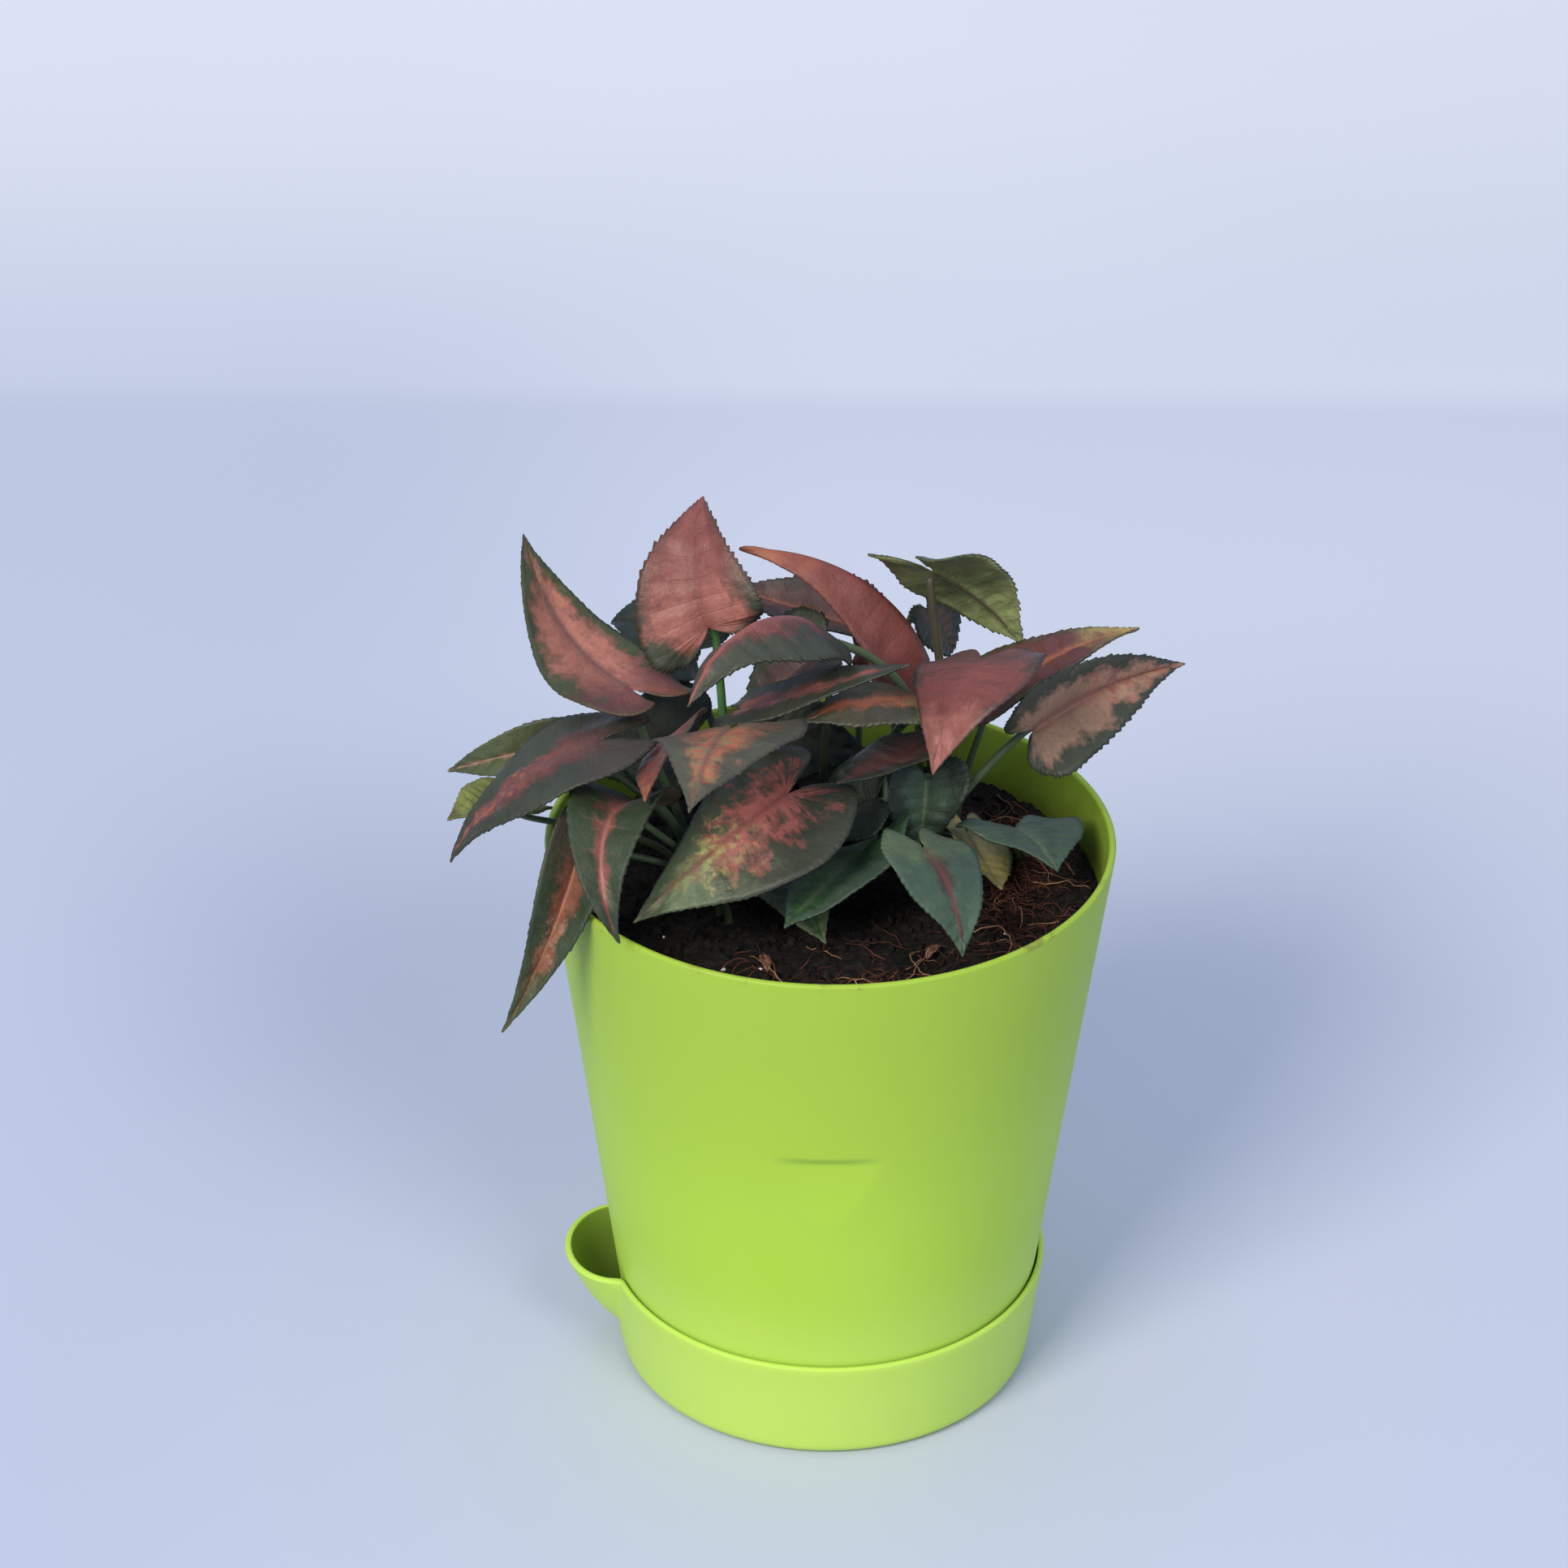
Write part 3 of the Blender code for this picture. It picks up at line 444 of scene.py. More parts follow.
def upper_colour(s, f, look):
    """The centre's colour, frayed along the veins into the margin's, with heart, flecks, tip and base."""
    spread = mixed(s, f, SPREAD_BY, s.times_plus(f.brush, BRUSH_SPREAD * look.brush, f.edge))
    centre, margin = PALETTE[look.centre], PALETTE[look.margin]
    inside = s.step(spread, look.reach + 0.26, look.reach - 0.16)
    half = s.times(inside, s.step(inside, 1.0, 0.55))
    colour = s.lay(half, 0.9, s.blend(inside, margin, centre), shade(centre, 0.55))
    heart = s.step(s.times_plus(f.cloud, 0.3, f.edge), 0.22, 0.0)
    colour = s.lay(heart, 0.45, colour, PALETTE[look.rib])
    if look.speck:
        colour = specked(s, f, look, spread, colour)
    for zone, start, end in ((look.tip, look.tip_start, look.tip_start + 0.4), (look.base, 0.22, -0.06)):
        if zone:
            near = s.step(s.times_plus(f.blotch, 0.7, f.ahead), start, end)
            colour = s.lay(near, 0.75, colour, PALETTE[zone])
    patch = s.step(s.times_plus(f.cloud, 0.8, f.blotch), 0.12, 0.34)
    colour = s.lay(patch, 0.55, colour, shade(margin, 0.85))
    return s.lay(s.step(f.edge, 0.90, 1.0), 0.55, colour, shade(margin, 0.75))


def leaf_tone(s, f, look):
    """Light and dark over the whole blade, with painted shade dimming one half where the look asks."""
    tone = mixed(s, f, TONE_BY, 1.0)
    # Painted shade on one half of the blade
    if look.half_shade:
        halves = (0.44, 0.56) if look.half_shade > 0 else (0.56, 0.44)
        darker = s.times(s.step(f.across, *halves), -abs(look.half_shade))
        tone = s.times(tone, s.math("ADD", darker, 1.0))
    return tone


def leaf_skin(name, look, number, under=False):
    """Mottled leaf skin with midrib and side veins."""
    s = Shader(name)
    f = leaf_fields(s, number)
    colour = under_colour(s, f, look) if under else upper_colour(s, f, look)
    colour = s.toned(colour, leaf_tone(s, f, look))
    off_rib = s.math("ABSOLUTE", s.math("SUBTRACT", f.aside, 0.5))
    rib = s.times(s.step(off_rib, 0.030, 0.006), s.step(f.ahead, 0.98, 0.55))
    rib = s.times(rib, s.step(f.ahead, -0.04, 0.02))
    colour = s.lay(rib, 0.5, colour, PALETTE[look.rib])
    bend = s.math("SINE", s.times_plus(f.along, 9.0, number))
    turns = s.times_plus(bend, VEIN_BEND, s.times(f.along, VEIN_COUNT))
    wave = s.math("COSINE", s.times(turns, math.tau))
    f.vein = s.times(s.step(wave, 0.86, 1.0), s.step(f.edge, 0.9, 0.5))
    colour = s.lay(f.vein, 0.07, colour, PALETTE[look.rib])
    s.bump(mixed(s, f, RELIEF_BY, s.times(f.brush, BRUSH_RELIEF)), 0.5, 0.0007)
    return s.finish(colour, s.times_plus(f.blotch, 0.3, 0.48), 0.4)


def stalk_skin(name, look):
    """Streaked stalk, with painted shade darkening it toward its foot."""
    s = Shader(name)
    place = s.place()
    streak = s.noise(s.node("ShaderNodeMapping", {0: place, 3: (1.0, 1.0, 0.12)}).outputs[0], 900.0)
    # Painted shade toward the stalk's foot
    low = s.step(s.split(place)[2], (SOIL_TOP + 38) * MM, (SOIL_TOP + 8) * MM)
    base = PALETTE[look.stalk]
    colour = s.blend(streak, shade(base, 0.62), shade(base, 1.15))
    colour = s.lay(low, 0.75, colour, PALETTE["moss"])
    s.bump(streak, 0.2, 0.0003)
    return s.finish(colour, 0.45, 0.4)


def darken_inside(s, place, z, dust, colour):
    """Painted deep shade low inside, and a darker band just above the soil, strongest on the right."""
    # Painted deep shade low inside
    colour = s.lay(s.step(z, 36 * MM, 18 * MM), 0.7, colour, PLASTIC["deep_shade"])
    # A darker band just above the soil, strongest on the right
    band_height = s.times_plus(dust, 12 * MM, z)
    dark_band = s.step(band_height, (SOIL_TOP + 21) * MM, (SOIL_TOP + 3) * MM)
    right = s.step(s.split(place)[0], 10 * MM, 55 * MM)
    return s.lay(dark_band, s.times_plus(right, 0.45, 0.35), colour, PLASTIC["dark_band"])


def plastic_skin(name, inside=False):
    """Moulded lime plastic, faint dust, brown specks, painted shade up top, painted floor light low down;
    inside, painted deep shade and a dark band over the soil.
    """
    s = Shader(name)
    place = s.place()
    z = s.split(place)[2]
    cloud = s.noise(place, 14.0)
    colour = s.blend(s.step(cloud, 0.3, 0.7), PLASTIC["lime"], PLASTIC["pale"])
    # Painted shade toward the top and painted light from the floor toward the foot
    colour = s.blend(s.step(z, 50 * MM, 130 * MM), colour, PLASTIC["high"])
    colour = s.blend(s.step(z, 50 * MM, 12 * MM), colour, PLASTIC["low"])
    cell = s.node("ShaderNodeTexVoronoi", {"Vector": place, "Scale": 75.0})
    pick = s.step(s.split(cell.outputs["Color"])[0], 0.93, 0.95)
    dot = s.times(s.step(cell.outputs["Distance"], 0.055, 0.03), pick)
    colour = s.lay(dot, 0.55, colour, PLASTIC["speck"])
    dust = s.noise(place, 60.0, 6.0, 0.7)
    colour = s.lay(s.step(dust, 0.58, 0.8), 0.10, colour, PLASTIC["dust"])
    near_rim = s.step(z, (POT_TOP - 2.2) * MM, (POT_TOP - 0.4) * MM)
    colour = s.lay(s.times(near_rim, s.step(dust, 0.56, 0.66)), 0.55, colour, PLASTIC["rim"])
    if inside:
        colour = darken_inside(s, place, z, dust, colour)
    s.bump(s.noise(place, 1400.0, 2.0), 0.08, 0.0002)
    return s.finish(colour, s.times_plus(dust, 0.20, 0.36), 0.3)


def peat_skin(name, dark, light):
    """Dull lumpy peat in two tones, with darker patches."""
    s = Shader(name)
    place = s.place()
    lump = s.noise(place, 420.0, 6.0, 0.7)
    tint = s.noise(place, 90.0)
    colour = s.blend(s.step(lump, 0.35, 0.75), dark, light)
    colour = s.lay(s.step(tint, 0.45, 0.7), 0.5, colour, shade(dark, 0.6))
    s.bump(lump, 0.8, 0.0012)
    return s.finish(colour, 0.9, 0.15)


def plain_skin(name, light, dark, scale, roughness=0.7):
    """Two mixed tones for small natural bits."""
    s = Shader(name)
    spots = s.noise(s.place(), scale, 4.0, 0.6)
    s.bump(spots, 0.4, 0.0004)
    return s.finish(s.blend(s.step(spots, 0.35, 0.65), dark, light), roughness, 0.25)


def new_object(name, data):
    item = bpy.data.objects.new(name, data)
    bpy.context.scene.collection.objects.link(item)
    return item


def add_piece(name, mesh, skins):
    """Put a mesh in the scene as a smooth piece of the root body, with its materials."""
    piece = new_object(name, mesh)
    for skin in skins:
        mesh.materials.append(skin)
    mesh.shade_smooth()
    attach(piece, "root")
    return piece


def curve_through(points, t):
    """Smooth curve through the rows of points, for an array of t running from 0 to 1."""
    count = len(points) - 1
    ends = np.vstack([2 * points[0] - points[1], points, 2 * points[-1] - points[-2]])
    place = np.clip(t * count, 0, count - 1e-9)
    k = place.astype(int)
    f = (place - k)[..., None]
    a, b, c, d = ends[k], ends[k + 1], ends[k + 2], ends[k + 3]
    return 0.5 * (2 * b + (c - a) * f + (2 * a - 5 * b + 4 * c - d) * f ** 2
                  + (3 * b - a - 3 * c + d) * f ** 3)


def direction(azimuth, elevation):
    """Unit vector at angles in radians."""
    flat = math.cos(elevation)
    return math.cos(azimuth) * flat, math.sin(azimuth) * flat, math.sin(elevation)


def leaf_axes(leaf):
    """Midrib direction, left side and upper normal where the blade meets its stalk."""
    heading, rise, roll = (math.radians(v) for v in leaf.aim)
    along = np.array(direction(heading, rise))
    level = np.array([-math.sin(heading), math.cos(heading), 0.0])
    side = math.cos(roll) * level + math.sin(roll) * np.cross(along, level)
    return along, side, np.cross(along, side)


def flat_blade(u, v, leaf):
    """Flat blade: u runs along the margin from notch to tip, v from right to left."""
    length, width, lobe = leaf.size
    edge = curve_through(MARGIN, u)
    edge_x = np.where(edge[..., 0] > 0, edge[..., 0] * length, edge[..., 0] / MARGIN_LOBE * lobe)
    hollow = 1 - leaf.waist * np.sin(math.pi * np.clip(edge[..., 0], 0, 1) ** 0.8)
    edge_y = edge[..., 1] * width / 2 * hollow
    midrib = np.clip((u - MIDRIB_START) / (1 - MIDRIB_START), 0, None) ** 1.15 * length
    return (1 - abs(v)) * midrib + abs(v) * edge_x, v * edge_y


def bent_blade(x, y, lift, leaf):
    """Fold, arch, sweep and twist points of the flat blade, then set them at the joint."""
    length = leaf.size[0]
    x = x + math.tan(math.radians(leaf.slant)) * y
    fold = np.radians(np.where(y > 0, leaf.folds[0], leaf.folds[1]))
    side = y * np.cos(fold)
    rise = abs(y) * np.sin(fold) + lift
    roll = math.radians(leaf.twist) * x / length
    side, rise = side * np.cos(roll) - rise * np.sin(roll), side * np.sin(roll) + rise * np.cos(roll)
    curl = -math.radians(leaf.droop) / length + 1e-9
    forward = np.sin(curl * x) / curl - rise * np.sin(curl * x)
    height = (1 - np.cos(curl * x)) / curl + rise * np.cos(curl * x)
    turn = math.radians(leaf.sweep) / length + 1e-9
    bend = turn * forward
    along, left, normal = leaf_axes(leaf)
    local_x = np.sin(bend) / turn - side * np.sin(bend)
    local_y = (1 - np.cos(bend)) / turn + side * np.cos(bend)
    place = local_x[..., None] * along + local_y[..., None] * left + height[..., None] * normal
    return np.array(leaf.joint) + place


def blade_lift(u, v, x, y, leaf, number):
    """Relief of the blade: waved margin, sunk midrib, sunk veins and soft puckers."""
    size = min(leaf.size[1] / 30, 1.0)
    phase = 1.7 * number + np.where(v > 0, 1.1, 0.0)
    wave = WAVE_HEIGHT * size * v * v * np.sin(math.pi * u) * np.sin(math.tau * WAVES_PER_SIDE * u + phase)
    midrib = -MIDRIB_SINK * np.exp(-(y / 1.1) ** 2) * np.clip(1 - x / leaf.size[0], 0, 1)
    inside = np.clip(4 * abs(v) * (1 - abs(v)), 0, 1)
    turns = VEIN_COUNT * u + VEIN_BEND * np.sin(9 * u + number)
    calm = np.clip(0.2 + 2.0 * x / leaf.size[0], 0, 1)
    veins = -VEIN_SINK * np.cos(math.tau * turns) * inside * calm
    flat = [Vector((a, b, 50.0 * number)) for a, b in zip(x, y)]
    pucker = np.array([noise.noise(point * 0.13) for point in flat])
    fine = np.array([noise.noise(point * 0.45) for point in flat])
    return wave + midrib + veins + (0.9 * pucker + 0.22 * fine) * inside * size


def toothed(u, v, x, y, leaf, number):
    """Push the margin out into fine forward-pointing teeth, between the notch and the tip."""
    rng = random.Random(number)
    first, last = TOOTHED
    length = leaf.size[0] + 0.8 * leaf.size[1]
    count = max(int(length / TOOTH_PITCH), 8)
    heights = np.array([rng.uniform(0.3, 1.0) for _ in range(2 * count + 4)])
    t = np.clip((u - first) / (last - first), 0, 0.999) * count
    k = t.astype(int)
    saw = (t - k) ** 1.3
    side = np.where(v > 0, 0, count + 2)
    size = TOOTH_HEIGHT * leaf.look.teeth * heights[k + side] * saw * (u > first) * (u < last)
    middle = 0.35 * leaf.size[0]
    reach = np.hypot(x - middle, y) + 1e-6
    push = size * np.clip((abs(v) - 0.85) / 0.15, 0, 1)
    return x + (x - middle) / reach * push, y + y / reach * push


def weld(mesh, distance):
    """Join the vertices of a mesh that lie closer together than a distance in metres."""
    shape = bmesh.new()
    shape.from_mesh(mesh)
    bmesh.ops.remove_doubles(shape, verts=shape.verts, dist=distance)
    shape.to_mesh(mesh)
    shape.free()


def grid_mesh(name, rows, columns, half=1.0):
    """Flat square grid about the origin."""
    shape = bmesh.new()
    bmesh.ops.create_grid(shape, x_segments=rows, y_segments=columns, size=half)
    return new_mesh(name, shape)


def new_mesh(name, shape):
    """The finished mesh of a bmesh, which is freed."""
    mesh = bpy.data.meshes.new(name)
    shape.to_mesh(mesh)
    shape.free()
    return mesh


def add_thickness(piece, thick):
    solidify = piece.modifiers.new("Thickness", "SOLIDIFY")
    solidify.thickness = thick * MM
    return solidify


def make_blade(name, leaf, number, skins):
    rows = BLADE_ROWS if leaf.size[0] > SMALL_LEAF else BLADE_ROWS * 2 // 3
    mesh = grid_mesh(name, rows, 2 * BLADE_COLUMNS)
    grid = np.zeros(len(mesh.vertices) * 3)
    mesh.vertices.foreach_get("co", grid)
    grid = grid.reshape(-1, 3)
    u = NOTCH_START + (1 - NOTCH_START) * (grid[:, 0] + 1) / 2
    v = grid[:, 1]
    x, y = flat_blade(u, v, leaf)
    x, y = toothed(u, v, x, y, leaf, number)
    place = bent_blade(x, y, blade_lift(u, v, x, y, leaf, number), leaf)
    mesh.vertices.foreach_set("co", (place * MM).ravel())
    corners = np.zeros(len(mesh.loops), int)
    mesh.loops.foreach_get("vertex_index", corners)
    for layer, flat in (("blade", np.stack([u, 0.5 + v / 2], 1)),
                        ("plan", np.stack([x / leaf.size[0], 0.5 + y / leaf.size[1]], 1))):
        mesh.uv_layers.new(name=layer).data.foreach_set("uv", flat[corners].ravel())
    weld(mesh, 0.004 * MM)
    piece = add_piece(name, mesh, skins)
    thick = add_thickness(piece, BLADE_THICK)
    thick.offset = 0.0
    thick.material_offset = 1
    thick.material_offset_rim = 0
    return piece


def evaluated_mesh(item):
    """A new mesh of a curve, or of a piece with its modifiers applied."""
    evaluated = item.evaluated_get(bpy.context.evaluated_depsgraph_get())
    return bpy.data.meshes.new_from_object(evaluated)


def stalk_line(leaf):
    """Centre line and thickness of the stalk, on along the underside of the midrib."""
    along, _, normal = leaf_axes(leaf)
    near = np.array(leaf.joint) - 1.5 * along - 2.2 * normal
    x, y, upright, behind = leaf.foot
    start = np.array([x, y, SOIL_TOP + SOIL_BUMP])
    rise = start + np.array([0, 0, upright])
    arrive = near - behind * (0.5 * along + 0.7 * normal + np.array([0, 0, 0.35]))
    steps = np.linspace(0, 1, 28)[:, None]
    bezier = ((1 - steps) ** 3 * start + 3 * steps * (1 - steps) ** 2 * rise
              + 3 * steps ** 2 * (1 - steps) * arrive + steps ** 3 * near)
    buried = start - np.array([0, 0, SOIL_BUMP + HOLE_DEPTH])
    length = leaf.size[0]
    x = np.linspace(1.2, 0.8 * length, 16)
    rib = bent_blade(x, x * 0, -MIDRIB_SINK * (1 - x / length) - 0.25, leaf)
    points = np.vstack([buried, bezier, rib])
    radius = STALK_RADIUS if leaf.size[1] > SMALL_LEAF else SMALL_STALK_RADIUS
    sizes = np.concatenate([[radius], radius * np.linspace(1.1, 0.85, len(bezier)),
                            0.45 * radius * np.linspace(1.0, 0.25, len(rib))])
    return points, sizes


def tubes(name, lines, sides, skins):
    """Round tubes with filled ends along several lines of points and sizes, as one mesh piece."""
    curve = bpy.data.curves.new(name, "CURVE")
    curve.dimensions = "3D"
    curve.bevel_depth = MM
    curve.bevel_resolution = sides // 2 - 2
    curve.use_fill_caps = True
    for points, sizes in lines:
        line = curve.splines.new("POLY")
        line.points.add(len(points) - 1)
        line.points.foreach_set("co", np.hstack([np.array(points) * MM, np.ones((len(points), 1))]).ravel())
        line.points.foreach_set("radius", sizes)
    source = new_object(name + "_line", curve)
    mesh = evaluated_mesh(source)
    bpy.data.objects.remove(source, do_unlink=True)
    weld(mesh, 0.001 * MM)
    mesh.materials.clear()
    return add_piece(name, mesh, skins)


def make_leaves():
    """A blade and a stalk for each leaf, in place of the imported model's leaf."""
    for number, leaf in enumerate(LEAVES, start=1):
        node = f"leaf_{number:02d}"
        skins = [leaf_skin(node + "_upper", leaf.look, number),
                 leaf_skin(node + "_under", leaf.look, number, under=True)]
        blade = make_blade(node + "_blade", leaf, number, skins)
        stalk = tubes(node + "_stalk", [stalk_line(leaf)], 12, [stalk_skin(node + "_stem", leaf.look)])
        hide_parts(node)
        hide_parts(node)


def arc(centre, radius, start, end, count):
    """Points (radius, height) round a centre from one angle to another."""
    angles = np.radians(np.linspace(start, end, count))
    return [(centre[0] + radius * math.cos(a), centre[1] + radius * math.sin(a)) for a in angles]


def pot_radius(height):
    """Outer radius of the pot's wall at a height."""
    return POT_TOP_RADIUS - (POT_TOP - height) * LEAN


def press_recess(mesh):
    """Sink the flat recess into the front of the pot, with a soft ledge along its top."""
    top = pot_radius(RECESS_TOP) - RECESS_DEPTH
    for vert in mesh.vertices:
        x, y, z = vert.co / MM
        reach = math.hypot(x, y)
        below = (RECESS_TOP - z) / RECESS_HEIGHT
        if not 0 < below < 1 or reach < pot_radius(z) - POT_WALL / 2:
            continue
        plane = top + below * (pot_radius(RECESS_TOP - RECESS_HEIGHT) - top)
        turn = math.cos(math.atan2(y, x) - math.radians(RECESS_TURN))
        ledge = min((RECESS_TOP - z) / RECESS_LEDGE, 1.0)
        depth = reach - plane / max(turn, 0.1)
        if depth > 0:
            factor = 1 - depth * ledge * ledge * (3 - 2 * ledge) / reach
            vert.co.x *= factor
            vert.co.y *= factor


def pot_profile():
    """Section of the pot as (radius, height), from the cup's inside over the rim to its underside."""
    floor_top = POT_FLOOR_LOW + FLOOR_THICK
    cup_inner = CUP_RADIUS - POT_WALL
    edge = POT_WALL / 2
    recess_low = RECESS_TOP - RECESS_HEIGHT
    profile = [(0, CUP_LOW + FLOOR_THICK), (cup_inner - 0.4, CUP_LOW + FLOOR_THICK), (cup_inner, floor_top)]
    profile += arc((pot_radius(floor_top) - POT_WALL - 1, floor_top + 1), 1, -90, 0, 5)
    profile += arc((POT_TOP_RADIUS - edge, POT_TOP - edge), edge, 180, 0, 9)
    profile += [(pot_radius(z), z) for z in np.linspace(RECESS_TOP + 1, recess_low, RECESS_ROWS)]
    profile += [(pot_radius(z), z) for z in np.linspace(recess_low, POT_FLOOR_LOW + 1, 6)[1:]]
    profile += arc((pot_radius(POT_FLOOR_LOW) - 1, POT_FLOOR_LOW + 1), 1, 0, -90, 5)
    return profile + [(CUP_RADIUS, POT_FLOOR_LOW), (CUP_RADIUS - 0.4, CUP_LOW), (0, CUP_LOW)]


def turned_wall(profile):
    """The pot's section turned round the axis by a modifier."""
    points = [(r * MM, 0.0, z * MM) for r, z in profile]
    mesh = bpy.data.meshes.new("pot_wall")
    mesh.from_pydata(points, [(i, i + 1) for i in range(len(points) - 1)], [])
    blank = new_object("pot_blank", mesh)
    turn = blank.modifiers.new("Turn", "SCREW")
    turn.axis = "Z"
    turn.steps = turn.render_steps = ROUND_STEPS
    turn.use_merge_vertices = True
    turn.merge_threshold = 0.01 * MM
    return blank


def drilled(blank):
    """Mesh of the turned blank, with the ring of drainage holes cut through its floor."""
    shape = bmesh.new()
    for i in range(DRAIN_HOLES):
        angle = math.tau * (i + 0.5) / DRAIN_HOLES
        centre = (DRAIN_RING * math.cos(angle), DRAIN_RING * math.sin(angle), POT_FLOOR_LOW + 1)
        bmesh.ops.create_cone(shape, cap_ends=True, segments=24, radius1=DRAIN_RADIUS, radius2=DRAIN_RADIUS,
                              depth=6, matrix=Matrix.Translation(centre))
    bmesh.ops.scale(shape, vec=(MM, MM, MM), verts=shape.verts)
    cutter = new_object("pot_cuts", new_mesh("pot_cuts", shape))
    cut = blank.modifiers.new("Cut", "BOOLEAN")
    cut.operation = "DIFFERENCE"
    cut.object = cutter
    mesh = evaluated_mesh(blank)
    mesh.materials.clear()
    for helper in (blank, cutter):
        bpy.data.objects.remove(helper, do_unlink=True)
    return mesh


def make_pot(skins):
    """The pot, with its recess pressed in and its inside in the second skin."""
    mesh = drilled(turned_wall(pot_profile()))
    press_recess(mesh)
    piece = add_piece("pot_shell", mesh, skins)
    mesh.set_sharp_from_angle(angle=math.radians(POT_CREASE))
    for face in mesh.polygons:
        x, y, z = face.center / MM
        face.material_index = int(math.hypot(x, y) < pot_radius(z) - POT_WALL + 0.1)
    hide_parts("pot")


def ellipse_reach(angle, centre, half_x, half_y):
    """Distance from the axis to the far side of an ellipse, along a direction, or 0 where it misses."""
    c, s = np.cos(angle), np.sin(angle)
    a = (c / half_x) ** 2 + (s / half_y) ** 2
    b = c * centre / half_x ** 2 + s * SPOUT_Y / half_y ** 2
    k = (centre / half_x) ** 2 + (SPOUT_Y / half_y) ** 2 - 1
    root = b * b - a * k
    return np.where(root > 0, (b + np.sqrt(np.clip(root, 0, None))) / a, 0.0)


def saucer_outline(angle, height, shrink):
    """Radius of the saucer's outside, or of its inside for a positive shrink, with the spout."""
    t = max((height - SPOUT_LOW) / (SAUCER_TOP - SPOUT_LOW), 0.0) ** SPOUT_BULGE
    half = np.interp(t, (0, 1), SPOUT_HALF_WIDTH)
    centre = np.interp(t, (0, 1), SPOUT_CENTRE_X)
    wall = pot_radius(height) + GAP + (0.0 if shrink else SAUCER_WALL)
    if half * SPOUT_FLATTEN - shrink < 0.5:
        return np.full_like(angle, wall)
    reach = ellipse_reach(angle, centre, half * SPOUT_FLATTEN - shrink, half - shrink)
    soft = SPOUT_FILLET
    gap = np.clip(soft - abs(reach - wall), 0, None) / soft
    return np.maximum(reach, wall) + gap * gap * soft / 4


def saucer_angles():
    """Directions round the saucer, closer together over the spout."""
    wide = np.linspace(-math.pi + SPOUT_SPAN, math.pi - SPOUT_SPAN, 150)
    spout = np.linspace(math.pi - SPOUT_SPAN, math.pi + SPOUT_SPAN, 92)[1:-1]
    return np.concatenate([wide, spout])


def saucer_outside(angles):
    """Rings (radii, height) from the rounded lower corner up the wall and over the rim."""
    low, high = SAUCER_CORNER, SAUCER_TOP - SAUCER_WALL / 2
    rings = []
    for turn in np.radians(np.linspace(-90, 0, 6)):
        inset = SAUCER_CORNER * (1 - math.cos(turn))
        rings.append((saucer_outline(angles, low, 0.0) - inset, SAUCER_CORNER * (1 + math.sin(turn))))
    rings += [(saucer_outline(angles, z, 0.0), z) for z in np.linspace(low + 1.5, high, 14)]
    outer, inner = saucer_outline(angles, high, 0.0), saucer_outline(angles, high, SPOUT_WALL)
    mid, half = (outer + inner) / 2, (outer - inner) / 2
    for turn in np.radians(np.linspace(0, 180, 8)[1:-1]):
        rings.append((mid + half * math.cos(turn), high + SAUCER_WALL / 2 * math.sin(turn)))
    return rings


def saucer_inside(angles):
    """Rings from the rim down the inside to the floor, and over the rib that carries the pot."""
    corner = INNER_CORNER
    low, high = FLOOR_THICK + corner, SAUCER_TOP - SAUCER_WALL / 2
    rings = [(saucer_outline(angles, z, SPOUT_WALL), z) for z in np.linspace(high, low, 14)]
    for turn in np.radians(np.linspace(0, 90, 5)[1:]):
        inset = corner * (1 - math.cos(turn))
        height = FLOOR_THICK + corner * (1 - math.sin(turn))
        rings.append((saucer_outline(angles, low, SPOUT_WALL) - inset, height))
    rib_top = POT_FLOOR_LOW - GAP
    for side, height in ((1, FLOOR_THICK), (1, rib_top), (-1, rib_top), (-1, FLOOR_THICK)):
        rings.append((np.full_like(angles, RIB_RADIUS + side * RIB_THICK / 2), height))
    return rings


def make_saucer(skins):
    """The saucer with its spout, and its inside in the second skin."""
    angles = saucer_angles()
    outside = saucer_outside(angles)
    rim_row = len(outside) - 3
    shape = bmesh.new()
    loops = []
    for radii, height in outside + saucer_inside(angles):
        loops.append([shape.verts.new((r * math.cos(a) * MM, r * math.sin(a) * MM, height * MM))
                      for r, a in zip(radii, angles)])
    count = len(angles)
    for row, (below, above) in enumerate(zip(loops, loops[1:])):
        for i in range(count):
            j = (i + 1) % count
            face = shape.faces.new((below[i], below[j], above[j], above[i]))
            face.material_index = int(row > rim_row)
    shape.faces.new(list(reversed(loops[0])))
    shape.faces.new(loops[-1])
    mesh = new_mesh("saucer_shell", shape)
    piece = add_piece("saucer_shell", mesh, skins)
    mesh.set_sharp_from_angle(angle=math.radians(SAUCER_CREASE))
    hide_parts("saucer")


def rough_soil(x, y):
    """Height of the soil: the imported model's gentle waves, with clods and crumbs."""
    wave = math.sin(0.13 * x + 1.0) * math.cos(0.11 * y - 0.4) + 0.6 * math.sin(0.21 * y + 0.17 * x)
    clod = noise.fractal(Vector((x * 0.16, y * 0.16, 4.0)), 1.0, 2.0, 3)
    crumb = noise.noise(Vector((x * 0.7, y * 0.7, 9.0))) + 0.5 * noise.noise(Vector((x * 1.9, y * 1.9, 2.0)))
    return SOIL_TOP + SOIL_BUMP * wave / 1.6 + 1.1 * clod + 0.75 * crumb


